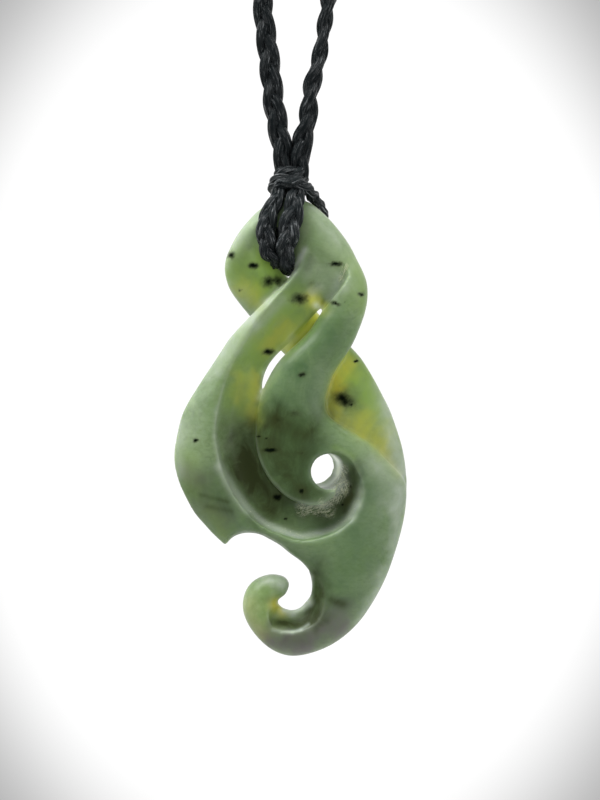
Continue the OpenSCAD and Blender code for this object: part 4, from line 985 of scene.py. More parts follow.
class Tree:
    """A node tree, with short calls to add nodes and to fill their inputs."""

    def __init__(self, tree: bpy.types.NodeTree) -> None:
        """Take the tree to work on."""
        self.tree = tree

    def put(self, socket: Socket, value: object) -> None:
        """Link a socket if the value is one, and set it otherwise.

        Args:
            socket: the input to fill.
            value: another node's output, a number, a vector or a colour.
        """
        if isinstance(value, Socket):
            self.tree.links.new(value, socket)
        elif socket.type == "RGBA":
            socket.default_value = (*value, 1.0)
        else:
            socket.default_value = value

    def fill(self, node: bpy.types.Node, **inputs: object) -> bpy.types.Node:
        """Fill a node's inputs by name, with an underscore for each space in a name.

        Args:
            node: the node.
            inputs: what each input gets.

        Returns:
            The same node.
        """
        for name, value in inputs.items():
            self.put(node.inputs[name.replace("_", " ")], value)
        return node

    def add(self, kind: str, **inputs: object) -> bpy.types.Node:
        """Add a node and fill its inputs by name."""
        return self.fill(self.tree.nodes.new(kind), **inputs)

    def math(self, kind: str, a: object, b: object = 0.0, clamp: bool = False) -> Socket:
        """Add a Math node.

        Args:
            kind: what it does.
            a: its first value.
            b: its second value, where it has one.
            clamp: whether its result is kept from 0 to 1.

        Returns:
            Its result.
        """
        node = self.tree.nodes.new("ShaderNodeMath")
        node.operation = kind
        node.use_clamp = clamp
        self.put(node.inputs[0], a)
        self.put(node.inputs[1], b)
        return node.outputs[0]

    def times(self, a: object, b: object) -> Socket:
        """Multiply two values."""
        return self.math("MULTIPLY", a, b)

    def plus(self, a: object, b: object, clamp: bool = False) -> Socket:
        """Add two values."""
        return self.math("ADD", a, b, clamp)

    def less(self, a: object, b: object) -> Socket:
        """Take the second value from the first."""
        return self.math("SUBTRACT", a, b)

    def remap(
        self, value: Socket, low: float, high: float, at_low: float = 0.0, at_high: float = 1.0
    ) -> Socket:
        """Map a range of values to another, smoothly and clamped.

        Args:
            value: the value to map.
            low: where the range starts.
            high: where it ends.
            at_low: the result up to its start.
            at_high: the result past its end.

        Returns:
            The mapped value.
        """
        node = self.tree.nodes.new("ShaderNodeMapRange")
        node.interpolation_type = "SMOOTHSTEP"
        return self.fill(
            node, Value=value, From_Min=low, From_Max=high, To_Min=at_low, To_Max=at_high
        ).outputs[0]


@dataclass(frozen=True)
class Pattern:
    """A cloudy pattern: how close its lumps lie, how crisp they are, and how it is drawn out and turned."""

    scale: float
    detail: float = 3.0
    rough: float = 0.5
    warp: float = 0.0
    stretch: Triple = EVEN
    turn: Triple = (0.0, 0.0, 0.0)


class Shader(Tree):
    """A material with one Principled surface."""

    def __init__(self, name: str) -> None:
        """Start an empty material.

        Args:
            name: the material's name.
        """
        self.material = bpy.data.materials.new(name)
        self.material.use_nodes = True
        super().__init__(self.material.node_tree)
        self.tree.nodes.clear()
        self.surface = self.tree.nodes.new("ShaderNodeBsdfPrincipled")
        self.add("ShaderNodeOutputMaterial", Surface=self.surface.outputs[0])

    def dress(self, **inputs: object) -> Finish:
        """Fill the surface's inputs by name and give the material."""
        self.fill(self.surface, **inputs)
        return self.material

    def stored(self, name: str, output: str = "Fac") -> Socket:
        """Read a number that is stored on the mesh, or a vector.

        Args:
            name: the field's name.
            output: "Fac" for a number and "Vector" for a vector.

        Returns:
            The field.
        """
        node = self.tree.nodes.new("ShaderNodeAttribute")
        node.attribute_name = name
        return node.outputs[output]

    def place(self) -> Socket:
        """Read Object coordinates."""
        return self.tree.nodes.new("ShaderNodeTexCoord").outputs["Object"]

    def noise(self, vector: Socket, look: Pattern) -> Socket:
        """Add a Noise texture.

        Args:
            vector: the coordinates that it lies on.
            look: its pattern.

        Returns:
            Its value.
        """
        if look.stretch != EVEN:
            turned = self.add("ShaderNodeMapping", Vector=vector, Rotation=look.turn, Scale=look.stretch)
            vector = turned.outputs[0]
        return self.add(
            "ShaderNodeTexNoise", Vector=vector, Scale=look.scale, Detail=look.detail, Roughness=look.rough,
            Distortion=look.warp,
        ).outputs[0]

    def mix(self, factor: object, a: object, b: object) -> Socket:
        """Mix two colours.

        Args:
            factor: how much there is of the second.
            a: the first colour.
            b: the second colour.

        Returns:
            The mixed colour.
        """
        node = self.tree.nodes.new("ShaderNodeMix")
        node.data_type = "RGBA"
        for place, value in ((0, factor), (6, a), (7, b)):
            self.put(node.inputs[place], value)
        return node.outputs[2]

    def bump(self, height: Socket, distance: float) -> Socket:
        """Add a Bump node and give its normal."""
        return self.add("ShaderNodeBump", Strength=1.0, Distance=distance, Height=height).outputs[0]


@dataclass(frozen=True)
class Greenstone:
    """Satin nephrite: cloudy sage green with amber zones, smoky streaks, black specks and carving marks, and
    with painted light and shade: shade in hollows and the channel, highlights on ridges, raised edges and the
    channel's outer wall, and a glow where thin stone is lit from behind.

    A range says between which two values a pattern changes, and with four numbers also what it is worth at
    each end. The glow's depth and the height of the bumps are in millimetres.
    """

    sage: Triple = (0.200, 0.285, 0.135)
    moss: Triple = (0.125, 0.205, 0.075)
    # Dark green of thick stone, also used as painted shade
    deep: Triple = (0.058, 0.118, 0.042)
    # Yellow-green and amber: partly the stone's own colour, partly a painted glow of thin stone lit from
    # behind
    lime: Triple = (0.180, 0.290, 0.048)
    amber: Triple = (0.380, 0.370, 0.035)
    # Dark olive of the stone's clouds, also the colour of the painted shade in hollows, the channel and the
    # cove
    smoke: Triple = (0.026, 0.036, 0.008)
    # Greyish mauve: partly the stone's own tint, partly painted shade under the hook
    mauve: Triple = (0.120, 0.120, 0.104)
    # Pale grey-green of the stone's veins and mottling, also the colour of painted highlights on ridges,
    # rims, raised edges and the channel's outer wall
    fair: Triple = (0.360, 0.415, 0.340)
    # Near-white painted light on the eye's wall
    pale: Triple = (0.860, 0.900, 0.840)
    speck: Triple = (0.002, 0.004, 0.002)
    # Pale colour of the burr marks, partly a painted glint, and of the painted glints on the channel's outer
    # wall
    scratch_and_glint: Triple = (0.640, 0.670, 0.480)
    cloud: Pattern = Pattern(150.0, 5.0, 0.6, 0.8)
    flow: Pattern = Pattern(380.0, 4.0, 0.6, 1.0, (1.0, 1.0, 0.6), (0.0, 0.9, 0.0))
    felt: Pattern = Pattern(2200.0, 3.0, 0.6, 0.6, (0.5, 1.0, 1.0))
    fine: Pattern = Pattern(1500.0, 3.0, 0.6)
    burr: Pattern = Pattern(1.0, 2.0, 0.5, 0.9, (1.1, 5.6, 1.9))
    # The pattern of the painted glints on the channel's outer wall, where it faces up toward the light
    wall_glint: Pattern = Pattern(5200.0, 2.0, 0.7, 0.4)
    cloud_range: Range = (0.36, 0.64)
    vein_range: Range = (0.42, 0.75)
    vein_share: float = 0.15
    dark_felt: Range = (0.30, 0.55, 0.20, 0.0)
    fair_felt: Range = (0.50, 0.75, 0.0, 0.10)
    flow_ripple: float = 1.5
    # Painted shade: darker toward the smoky colour where the surface lies below its surroundings
    hollow_shade: Range = (-0.6, -0.1, 0.15, 0.0)
    # How far the channel's outer wall is painted toward the pale colour, as a highlight
    wall_share: float = 0.9
    # Paler raised edges: partly wear, partly a painted highlight
    edge_highlight_and_wear: Range = (0.012, 0.08, 0.0, 0.10)
    speck_tear: float = 0.5
    speck_halo: Range = (0.05, 0.5, 0.0, 0.65)
    speck_core: Range = (0.30, 0.80)
    burr_line: Range = (0.0, 0.09, 1.0, 0.0)
    burr_zone: Range = (0.3, 0.9)
    # How far the burr marks are painted toward the pale colour: partly the marks themselves, partly a painted
    # glint on their ripples
    burr_share: float = 0.85
    # Where the painted glints show, and how many there are on the channel's outer wall
    wall_glint_range: Range = (0.58, 0.74)
    wall_glint_zone: Range = (0.02, 0.4, 0.0, 0.5)
    roughness: Range = (0.3, 0.7, 0.40, 0.53)
    dull_smoke: Range = (0.1, 0.9, 1.0, 0.35)
    sheen: float = 0.28
    bloom: float = 0.16
    bloom_spread: float = 0.35
    bending: float = 1.6
    glow: float = 0.40
    glow_depth: float = 1.2
    glow_reach: Triple = (1.0, 1.1, 0.45)
    # Strength of the painted glow: emission where the LIT strokes lie, standing in for light passing through
    # thin stone
    painted_glow: float = 0.85
    flow_height: float = 0.12
    burr_height: float = 0.5
    bump_height: float = 0.15

    def ground(self, s: Shader, cloud: Socket, flow: Socket) -> Socket:
        """Mix the stone's cloudy green.

        Args:
            s: the shader.
            cloud: the wide pattern.
            flow: the drawn-out pattern.

        Returns:
            The colour of stone without markings.
        """
        felt = s.noise(s.place(), self.felt)
        colour = s.mix(s.remap(cloud, *self.cloud_range), self.moss, self.sage)
        colour = s.mix(s.times(s.remap(flow, *self.vein_range), self.vein_share), colour, self.fair)
        colour = s.mix(s.remap(felt, *self.dark_felt), colour, self.smoke)
        return s.mix(s.remap(felt, *self.fair_felt), colour, self.fair)

    def stains_and_light(self, s: Shader, colour: Socket, ripple: Socket) -> Socket:
        """Lay the markings over the ground, some of them painted light and shade; paint shade into the
        hollows, a highlight on the channel's outer wall, and paler raised edges that are partly wear and
        partly painted highlight.

        Args:
            s: the shader.
            colour: the colour so far.
            ripple: how the markings' outlines waver.

        Returns:
            The stained colour.
        """
        tints = {
            StainOrLight.DEEP: self.deep, StainOrLight.LIME: self.lime, StainOrLight.MAUVE: self.mauve, StainOrLight.AMBER: self.amber,
            StainOrLight.SMOKE: self.smoke, StainOrLight.FAIR: self.fair, StainOrLight.PALE: self.pale,
        }
        for mark_kind, tint in tints.items():
            drawn = s.stored(mark_kind.value)
            colour = s.mix(s.plus(drawn, s.times(drawn, ripple), True), colour, tint)
        # Painted shade in the hollows
        colour = s.mix(s.remap(s.stored("hollow"), *self.hollow_shade), colour, self.smoke)
        # Painted highlight on the channel's outer wall
        colour = s.mix(s.times(s.stored("wall"), self.wall_share), colour, self.fair)
        # Paler raised edges, partly wear and partly painted highlight
        return s.mix(s.remap(s.stored("edge"), *self.edge_highlight_and_wear), colour, self.fair)

    def burr_marks(self, s: Shader) -> Socket:
        """Draw the short wavy marks of a burr where the carver left them.

        Args:
            s: the shader.

        Returns:
            Their height, from 0 to 1.
        """
        wavy = s.noise(s.stored("grain", "Vector"), self.burr)
        marks = s.remap(s.math("ABSOLUTE", s.less(wavy, 0.5)), *self.burr_line)
        return s.times(marks, s.remap(s.stored(StainOrLight.CHATTER.value), *self.burr_zone))

    def material(self) -> Finish:
        """Build the stone's node tree.

        Returns:
            The material.
        """
        s = Shader("greenstone")
        place = s.place()
        cloud, flow, fine = (s.noise(place, look) for look in (self.cloud, self.flow, self.fine))
        ripple = s.plus(s.times(s.less(flow, 0.5), self.flow_ripple), s.less(cloud, 0.5))
        colour = self.stains_and_light(s, self.ground(s, cloud, flow), ripple)
        torn = s.plus(s.stored(StainOrLight.SPOT.value), s.times(s.less(fine, 0.5), self.speck_tear))
        colour = s.mix(s.remap(torn, *self.speck_halo), colour, self.smoke)
        dark = s.remap(torn, *self.speck_core)
        colour = s.mix(dark, colour, self.speck)
        burr = self.burr_marks(s)
        # Burr marks painted pale: partly real marks, partly a painted glint
        colour = s.mix(s.times(burr, self.burr_share), colour, self.scratch_and_glint)
        # Painted glints, only on the channel's outer wall
        wall_glint = s.remap(s.noise(place, self.wall_glint), *self.wall_glint_range)
        wall_glint = s.times(wall_glint, s.remap(s.stored("wall"), *self.wall_glint_zone))
        colour = s.mix(wall_glint, colour, self.scratch_and_glint)
        clear = s.less(1.0, dark)
        calm = s.times(clear, s.remap(s.stored(StainOrLight.SMOKE.value), *self.dull_smoke))
        # Painted glow where the LIT strokes lie, left off the black specks
        lit = s.times(s.stored(StainOrLight.LIT.value), clear)
        height = s.plus(s.times(flow, self.flow_height), s.times(burr, self.burr_height))
        return s.dress(
            Base_Color=colour,
            Roughness=s.remap(fine, *self.roughness),
            IOR=self.bending,
            Specular_IOR_Level=s.times(calm, self.sheen),
            Sheen_Weight=s.times(calm, self.bloom),
            Sheen_Roughness=self.bloom_spread,
            Subsurface_Weight=s.times(clear, self.glow),
            Subsurface_Radius=self.glow_reach,
            Subsurface_Scale=self.glow_depth * MM,
            # Painted glow: the stone's colour given off as light where thin stone or a wall is lit from
            # behind
            Emission_Color=s.mix(lit, (0.0, 0.0, 0.0), colour),
            Emission_Strength=self.painted_glow,
            Normal=s.bump(height, self.bump_height * MM),
        )


@dataclass(frozen=True)
class WaxedThread:
    """Black waxed thread: fine plies that run askew along each cord, with dull waxy highlights, partly
    painted on as pale fibres.

    A range says between which two values a pattern changes, and with four numbers also what it is worth at
    each end. The height of the bumps is in millimetres.
    """

    black: Triple = (0.0060, 0.0082, 0.0090)
    # A greyer black, painted on where a cord gets its full highlight share, to lighten cords that hang in
    # shade
    lifted_black: Triple = (0.0115, 0.0153, 0.0166)
    # Pale colour of the painted highlights on the fibres
    fibre_highlight: Triple = (0.260, 0.280, 0.290)
    fibre: Pattern = Pattern(5.5, 3.0, 0.65, 0.8, (1.0, 1.0, 0.16))
    patch: Pattern = Pattern(0.9, 2.0)
    grit: Pattern = Pattern(9.0, 3.0, 0.6)
    highlight_fibres: Range = (0.56, 0.65)
    highlight_patches: Range = (0.40, 0.60, 0.10, 1.0)
    roughness: Range = (0.3, 0.7, 0.20, 0.45)
    sheen: Range = (0.42, 0.64, 0.04, 0.50)
    highlight_share_sheen: Range = (0.0, 1.0, 0.45, 1.0)
    bump_height: float = 0.25

    def material(self) -> Finish:
        """Build the cord's node tree.

        Returns:
            The material.
        """
        s = Shader("waxed_cord")
        lay, highlight_share = s.stored("lay", "Vector"), s.stored("highlight_share")
        fibres, patches, grit = (s.noise(lay, look) for look in (self.fibre, self.patch, self.grit))
        # Painted highlights: pale fibres in patches
        fibre_highlight = s.times(s.remap(fibres, *self.highlight_fibres), s.remap(patches, *self.highlight_patches))
        return s.dress(
            # Black painted greyer, with painted fibre highlights, as far as the highlight share goes
            Base_Color=s.mix(s.times(fibre_highlight, highlight_share), s.mix(highlight_share, self.black, self.lifted_black), self.fibre_highlight),
            Roughness=s.remap(grit, *self.roughness),
            Specular_IOR_Level=s.times(s.remap(fibres, *self.sheen), s.remap(highlight_share, *self.highlight_share_sheen)),
            Normal=s.bump(fibres, self.bump_height * MM),
        )


class Sweep(Tree):
    """The Geometry Nodes tree that sweeps a twisted cord along each line of its host mesh.

    The host's points hold half the cord's thickness in "half". The plies are lobes that turn along the cord.
    """

    # What the lobes are counted from, about the mean of their height, so that they don't thicken the cord
    lobe_middle: float = 0.6

    def __init__(self, finish: Finish) -> None:
        """Build the tree, with named inputs for its sizes.

        Args:
            finish: the cord's material.
        """
        super().__init__(bpy.data.node_groups.new("cord_sweep", "GeometryNodeTree"))
        self.declare("Geometry", "INPUT", "Geometry")
        for name, kind in (("Sides", "Int"), ("Plies", "Int"), ("Ply relief", "Float"), ("Twist", "Float")):
            self.declare(name, "INPUT", kind)
        self.declare("Finish", "INPUT", "Material").default_value = finish
        self.declare("Geometry", "OUTPUT", "Geometry")
        given = self.tree.nodes.new("NodeGroupInput").outputs
        cord, plies = self.smooth_cord(given), self.plies(given)
        moved = self.add("GeometryNodeSetPosition", Geometry=cord, Offset=plies).outputs[0]
        whole = self.add("GeometryNodeRealizeInstances", Geometry=moved).outputs[0]
        done = self.add("GeometryNodeSetMaterial", Geometry=whole, Material=given["Finish"]).outputs[0]
        self.add("NodeGroupOutput", Geometry=done)

    def smooth_cord(self, given: bpy.types.NodeOutputs) -> Socket:
        """Sweep a ring along each line, and store where each point lies round and along the cord.

        Args:
            given: the tree's inputs.

        Returns:
            The swept mesh.
        """
        curve = self.add("GeometryNodeMeshToCurve", Mesh=given["Geometry"]).outputs["Curve"]
        curve = self.store(curve, "run", "FLOAT", self.along("Length"))
        circle = self.add("GeometryNodeCurvePrimitiveCircle", Resolution=given["Sides"], Radius=1.0)
        angle = self.times(self.along("Factor"), 2 * math.pi)
        ring = self.store(circle.outputs["Curve"], "turn", "FLOAT", angle)
        sweep = self.add(
            "GeometryNodeCurveToMesh", Curve=curve, Profile_Curve=ring, Scale=self.read("half"),
            Fill_Caps=True,
        )
        turn, run = self.read("turn"), self.read("run")
        lay = self.add("ShaderNodeCombineXYZ", X=self.math("COSINE", turn), Y=self.math("SINE", turn), Z=run)
        return self.store(sweep.outputs[0], "lay", "FLOAT_VECTOR", lay.outputs[0])

    def plies(self, given: bpy.types.NodeOutputs) -> Socket:
        """Work out how far the plies lift and lower each point of the cord.

        Args:
            given: the tree's inputs.

        Returns:
            The shift of each point.
        """
        turn, run = self.read("turn"), self.read("run")
        phase = self.plus(self.times(turn, given["Plies"]), self.times(run, given["Twist"]))
        wave = self.math("ABSOLUTE", self.math("COSINE", self.times(phase, 0.5)))
        lobe = self.less(wave, self.lobe_middle)
        offset = self.tree.nodes.new("ShaderNodeVectorMath")
        offset.operation = "SCALE"
        self.put(offset.inputs[0], self.tree.nodes.new("GeometryNodeInputNormal").outputs[0])
        self.put(offset.inputs["Scale"], self.times(lobe, given["Ply relief"]))
        return offset.outputs[0]

    def declare(self, name: str, way: str, kind: str) -> bpy.types.NodeTreeInterfaceSocket:
        """Give the tree itself an input or an output."""
        return self.tree.interface.new_socket(name, in_out=way, socket_type="NodeSocket" + kind)

    def along(self, output: str) -> Socket:
        """Read how far along its line a point lies."""
        return self.tree.nodes.new("GeometryNodeSplineParameter").outputs[output]

    def store(self, geometry: Socket, name: str, kind: str, value: Socket) -> Socket:
        """Store a named attribute on the points.

        Args:
            geometry: what it is stored on.
            name: the attribute's name.
            kind: its type.
            value: what it holds.

        Returns:
            The geometry that holds it.
        """
        node = self.tree.nodes.new("GeometryNodeStoreNamedAttribute")
        node.data_type = kind
        node.domain = "POINT"
        return self.fill(node, Geometry=geometry, Name=name, Value=value).outputs[0]

    def read(self, name: str) -> Socket:
        """Read a number that is stored on the points.

        Args:
            name: its name.

        Returns:
            The number.
        """
        node = self.tree.nodes.new("GeometryNodeInputNamedAttribute")
        node.data_type = "FLOAT"
        return self.fill(node, Name=name).outputs[0]

    def by_identifier(self, values: dict[str, object]) -> dict[str, object]:
        """Put the identifiers that a modifier takes in place of the inputs' names."""
        items = self.tree.interface.items_tree
        return {item.identifier: values[item.name] for item in items if item.name in values}


@dataclass
class Route:
    """A smooth route for a cord, as points with the directions across it."""

    points: np.ndarray
    side: np.ndarray
    front: np.ndarray
    fill: np.ndarray

    @classmethod
    def through(cls, rows: np.ndarray, axis: Triple, step: float = 0.26, between: int = 60) -> "Route":
        """Pass a route through rows of x, y, z, fill and turn.

        Args:
            rows: the places, how much of its full size the cord has there, and its turn in degrees.
            axis: the direction that the cord's flat side keeps to.
            step: how far apart the route's points are.
            between: how many places are tried between two rows, to measure the route.

        Returns:
            The route.
        """
        fine = catmull(rows, between)
        run = distances(fine[:, :3])
        marks = np.linspace(0, run[-1], max(2, int(run[-1] / step)))
        even = np.stack([np.interp(marks, run, column) for column in fine.T], axis=1)
        points = even[:, :3]
        along = unit(np.gradient(points, axis=0))
        across_axis = unit(np.cross(np.array(axis), along))
        flat = np.cross(along, across_axis)
        turn = np.radians(even[:, 4])[:, None]
        side = np.cos(turn) * across_axis + np.sin(turn) * flat
        return cls(points, side, np.cross(along, side), even[:, 3])


@dataclass(frozen=True)
class Plait:
    """A three-strand plait along a route."""

    spread: float = 0.60
    depth: float = 0.32
    period: float = 10.8
    half: float = 0.62
    start: float = -1.0
    least: float = 0.35

    def lines(self, route: Route) -> list[Line]:
        """Lay the three strands over and under each other.

        Args:
            route: the plait's route.

        Returns:
            Where each strand's middle runs, and half its thickness there.
        """
        run = distances(route.points)
        made = []
        for k in range(3):
            phase = 2 * np.pi * ((run - self.start) / self.period + k / 3)
            across_plait = self.spread * route.fill * np.sin(phase)
            over = self.depth * route.fill * np.sin(2 * phase)
            points = route.points + across_plait[:, None] * route.side + over[:, None] * route.front
            made.append((points, self.half * (self.least + (1 - self.least) * route.fill)))
        return made


@dataclass(frozen=True)
class Thread:
    """How a cord is laid: its sides, its plies and their turn in radians a millimetre, and how much painted
    highlight and lightening its black gets.
    """

    sides: int = 18
    plies: int = 6
    ply_relief: float = 0.20
    twist: float = 0.7
    highlight_share: float = 1.0

    def sweep(self, name: str, lines: list[Line], finish: Finish) -> Piece:
        """Sweep cords along lines with Geometry Nodes.

        Args:
            name: the piece's name.
            lines: for each cord its points in millimetres and its half thickness at each.
            finish: the cord's material.

        Returns:
            The finished piece.
        """
        edges, base = [], 0
        for points, _ in lines:
            edges += [(base + i, base + i + 1) for i in range(len(points) - 1)]
            base += len(points)
        mesh = bpy.data.meshes.new(name + "_lines")
        mesh.from_pydata(np.vstack([points for points, _ in lines]).tolist(), edges, [])
        set_field(mesh, "half", np.concatenate([half for _, half in lines]))
        host = new_object(name, mesh)
        step = host.modifiers.new("sweep", "NODES")
        tree = Sweep(finish)
        step.node_group = tree.tree
        values = {
            "Sides": self.sides, "Plies": self.plies, "Ply relief": self.ply_relief, "Twist": self.twist,
            "Finish": finish,
        }
        for identifier, value in tree.by_identifier(values).items():
            step[identifier] = value
        bake_modifiers(host)
        # How much painted highlight and lightening the cord gets
        set_field(host.data, "highlight_share", np.full(len(host.data.vertices), self.highlight_share))
        finish_piece(host, finish)
        return host


@dataclass
class NeckCord:
    """The plaited cord: two sides, the loops through the stone, the wrap round them and the neck knot."""

    plait: Plait = Plait()
    left_start: float = -2.1
    right_start: float = -2.2
    right_turn: float = 70.0
    loop_plait: Plait = Plait(spread=0.62, depth=0.36, period=8.5, half=0.60)
    left_loop_start: float = 1.0
    right_loop_start: float = 3.0
    thin_plait: Plait = Plait(spread=0.30, depth=0.22, period=5.4, half=0.46)
    lashing_turn: float = 90.0
    short_step: float = 0.12
    neck_thread: Thread = Thread(highlight_share=0.4)
    lashing_thread: Thread = Thread(sides=26)
    knot_thread: Thread = Thread()
    wrap_x: float = -0.35
    wrap_drift: float = 0.4
    wrap_low: float = 55.7
    wrap_high: float = 58.3
    wrap_turns: float = 3.0
    wrap_depth: float = 1.12
    # Places on the way up the wrap, from 0 to 1, with half its width there, and others with its strand's fill
    wrap_widths: tuple = ((0.0, 0.35, 0.65, 1.0), (1.7, 1.72, 1.38, 1.0))
    wrap_fills: tuple = ((0.0, 0.04, 0.9, 1.0), (0.6, 1.0, 1.0, 0.6))
    wrap_half: float = 0.62
    wrap_slant: float = 0.13
    wrap_points: int = 320
    strand_gap: float = 0.30
    strand_share: float = 0.78
    strand_twist: float = 2.3
    knot_length: float = 11.0
    knot_width: float = 4.4
    knot_half: float = 0.52
    knot_points: int = 40

    def side(self, name: str, low: tuple, sign: int, turn: float, start: float, finish: Finish) -> Piece:
        """Make one side of the neck cord, from the wrap to the neck knot.

        Args:
            name: the piece's name.
            low: its route above the wrap.
            sign: -1 for the left side and 1 for the right.
            turn: how far its flat side is turned, in degrees.
            start: where its plait starts.
            finish: its material.

        Returns:
            The finished piece.
        """
        rest = [(sign * x, z + DROP, 1.0, turn) for x, z in BRAID_HIGH]
        rows = np.insert(np.array([*low, *rest]), 1, 0.0, axis=1)
        route = Route.through(rows, (0.0, 1.0, 0.0))
        return self.neck_thread.sweep(name, replace(self.plait, start=start).lines(route), finish)

    def lashing(self, name: str, rows: tuple, plait: Plait, finish: Finish) -> Piece:
        """Make a short plait of the lashing.

        Args:
            name: the piece's name.
            rows: its route.
            plait: how it is plaited.
            finish: its material.

        Returns:
            The finished piece.
        """
        turned = np.insert(np.array(rows), 4, self.lashing_turn, axis=1)
        route = Route.through(turned, (1.0, 0.0, 0.0), self.short_step)
        return self.lashing_thread.sweep(name, plait.lines(route), finish)

    def wrap(self, finish: Finish) -> Piece:
        """Make the turns that bind the plaits above the stone, narrower and steeper toward the top.

        Args:
            finish: its material.

        Returns:
            The finished piece.
        """
        a = np.linspace(0, 2 * np.pi * self.wrap_turns, self.wrap_points)
        share = a / a[-1]
        wide = np.interp(share, *self.wrap_widths)
        middle = self.wrap_x + self.wrap_drift * share
        x = wide * np.cos(a + np.pi / 2)
        z = self.wrap_low + (self.wrap_high - self.wrap_low) * share - self.wrap_slant * x
        points = np.stack([middle + x, self.wrap_depth * wide * np.sin(a + np.pi / 2), z], axis=1)
        out = unit(points - np.stack([middle, 0 * a, z], axis=1))
        half = self.wrap_half * np.interp(share, *self.wrap_fills)
        lines = []
        for k in range(2):
            phase = np.pi * k + a * self.strand_twist
            shift = np.cos(phase)[:, None] * out + np.sin(phase)[:, None] * np.array([0.0, 0.0, 1.0])
            lines.append((points + self.strand_gap * shift, self.strand_share * half))
        return self.lashing_thread.sweep("lashing_wrap", lines, finish)

    def knot(self, finish: Finish) -> Piece:
        """Make the wound barrel at the back of the neck.

        Args:
            finish: its material.

        Returns:
            The finished piece.
        """
        turns = self.knot_length / (2 * self.knot_half)
        a = np.linspace(0, 2 * np.pi * turns, int(self.knot_points * turns))
        reach = self.knot_width / 2 - self.knot_half
        points = np.stack([
            self.knot_length * (a / a[-1] - 0.5),
            reach * np.cos(a),
            self.knot_width / 2 + reach * np.sin(a) + DROP,
        ], axis=1)
        half = np.full(len(points), self.knot_half)
        return self.knot_thread.sweep("neck_knot_turns", [(points, half)], finish)

    def build(self, finish: Finish) -> list[tuple[Piece, str]]:
        """Make every piece of cord.

        Args:
            finish: the cord's material.

        Returns:
            Each piece with the node that it stands for.
        """
        left_loop = replace(self.loop_plait, start=self.left_loop_start)
        right_loop = replace(self.loop_plait, start=self.right_loop_start)
        left = self.side("plait_left", BRAID_LEFT_LOW, -1, 0.0, self.left_start, finish)
        right = self.side("plait_right", BRAID_RIGHT_LOW, 1, self.right_turn, self.right_start, finish)
        return [
            (left, "braid_left"),
            (right, "braid_right"),
            (self.lashing("loop_left", LOOP_LEFT, left_loop, finish), "lashing_loop_left"),
            (self.lashing("loop_right", LOOP_RIGHT, right_loop, finish), "lashing_loop_right"),
            (self.lashing("lashing_strand", STRAND_ROUTE, self.thin_plait, finish), "lashing_strand"),
            (self.wrap(finish), "lashing_wrap"),
            (self.knot(finish), "neck_knot"),
        ]


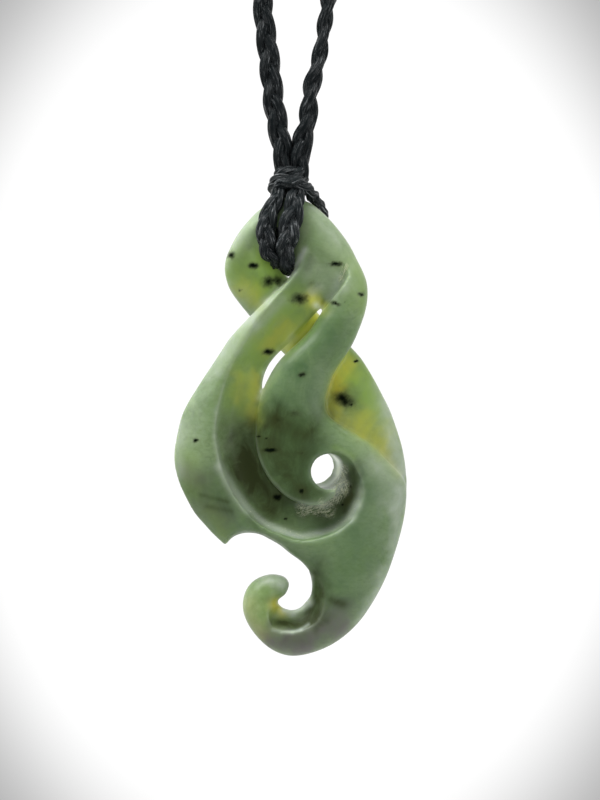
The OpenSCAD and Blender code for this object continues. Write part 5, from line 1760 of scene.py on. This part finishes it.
@dataclass
class Studio:
    """The camera, the lights, the pale surroundings and the floor.

    A range of four numbers says from where to where the light changes, and how bright it is at each end.
    """

    photo_height: float = 800.0
    mm_per_pixel: float = 0.12
    distance: float = 300.0
    aim_x: float = 1.08
    aim_z: float = 30.7
    lens: float = 75.0
    clip: tuple[float, float] = (0.01, 20.0)
    # Each softbox's name, its place in metres from the middle of the stone, its width and its power
    lights: tuple = (("key", (-0.28, -0.16, 0.50), 0.35, 5.7), ("fill", (0.45, -0.30, 0.08), 0.45, 1.5))
    least_ahead: float = 0.001
    oval_half: tuple[float, float] = (0.12, 0.16)
    oval_fade: Range = (1.02, 1.50, 1.05, 0.45)
    beyond: Range = (1.6, 2.6, 0.0, 0.45)
    room: Range = (-0.3, 0.5, 0.30, 1.1)
    sky: Range = (-1.0, 1.0, 0.7, 1.3)
    floor_below: float = 700.0
    floor_radius: float = 3600.0
    floor_sides: int = 96
    floor_paint: Triple = (0.92, 0.92, 0.92)
    floor_roughness: float = 0.8

    def camera(self) -> None:
        """Stand the camera in front of the stone, so that the image holds what the photograph holds."""
        data = bpy.data.cameras.new("camera")
        data.lens = self.lens
        data.sensor_fit = "AUTO"
        data.sensor_width = self.lens * self.photo_height * self.mm_per_pixel / self.distance
        data.clip_start, data.clip_end = self.clip
        obj = new_object("camera", data)
        obj.location = (self.aim_x * MM, -self.distance * MM, (self.aim_z - DROP) * MM)
        obj.rotation_euler = (math.pi / 2, 0.0, 0.0)
        bpy.context.scene.camera = obj

    def softbox(self, name: str, place: Triple, size: float, power: float) -> None:
        """Hang a square softbox that faces the stone.

        Args:
            name: its name.
            place: where it hangs, in metres from the middle of the stone.
            size: its width in metres.
            power: its power in watts.
        """
        data = bpy.data.lights.new(name, "AREA")
        data.size = size
        data.energy = power
        obj = new_object(name, data)
        obj.location = Vector((0.0, 0.0, (self.aim_z - DROP) * MM)) + Vector(place)
        obj.rotation_euler = (-Vector(place)).to_track_quat("-Z", "Y").to_euler()

    def surroundings(self) -> None:
        """Light the scene from all round, with a bright oval behind the stone that fades outward."""
        world = bpy.data.worlds.new("surroundings")
        bpy.context.scene.world = world
        world.use_nodes = True
        t = Tree(world.node_tree)
        t.tree.nodes.clear()
        direction = t.tree.nodes.new("ShaderNodeTexCoord").outputs["Generated"]
        x, y, z = t.add("ShaderNodeSeparateXYZ", Vector=direction).outputs
        ahead = t.math("MAXIMUM", y, self.least_ahead)
        wide, high = (
            t.math("DIVIDE", t.math("DIVIDE", way, ahead), half) for way, half in zip((x, z), self.oval_half)
        )
        radius = t.math("SQRT", t.plus(t.times(wide, wide), t.times(high, high)))
        oval = t.plus(t.remap(radius, *self.oval_fade), t.remap(radius, *self.beyond))
        room = t.times(t.remap(y, *self.room), t.remap(z, *self.sky))
        seen = t.tree.nodes.new("ShaderNodeLightPath").outputs["Is Camera Ray"]
        strength = t.plus(t.times(oval, seen), t.times(room, t.less(1.0, seen)))
        light = t.add("ShaderNodeBackground", Color=EVEN, Strength=strength)
        t.add("ShaderNodeOutputWorld", Surface=light.outputs[0])

    def floor(self) -> Piece:
        """Lay the plain pale floor well under the stone.

        Returns:
            The floor.
        """
        turn = np.linspace(0, 2 * np.pi, self.floor_sides, endpoint=False)
        z = np.full(len(turn), -DROP - self.floor_below)
        ring = MM * np.stack([self.floor_radius * np.cos(turn), self.floor_radius * np.sin(turn), z], axis=1)
        mesh = bpy.data.meshes.new("floor")
        mesh.from_pydata(ring.tolist(), [], [tuple(range(len(ring)))])
        paint = Shader("floor_paint").dress(Base_Color=self.floor_paint, Roughness=self.floor_roughness)
        mesh.materials.append(paint)
        return new_object("floor", mesh)

    def build(self) -> None:
        """Set up the whole studio but its camera."""
        bpy.context.scene.view_settings.view_transform = "Standard"
        self.surroundings()
        for light in self.lights:
            self.softbox(*light)
        self.floor()


def main() -> None:
    """Build every piece in order and report it."""
    logging.basicConfig(level=logging.INFO, format="%(message)s")
    studio = Studio()
    studio.camera()
    stone_finish = Greenstone().material()
    cord_finish = WaxedThread().material()
    stone = Stone().build(stone_finish)
    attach(stone, BODY)
    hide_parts("greenstone_twist")
    log.info("%s: %d faces", stone.name, len(stone.data.polygons))
    for piece, node in NeckCord().build(cord_finish):
        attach(piece, BODY)
        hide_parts(node)
        log.info("%s: %d faces", piece.name, len(piece.data.polygons))
    studio.build()


if __name__ == "__main__":
    main()
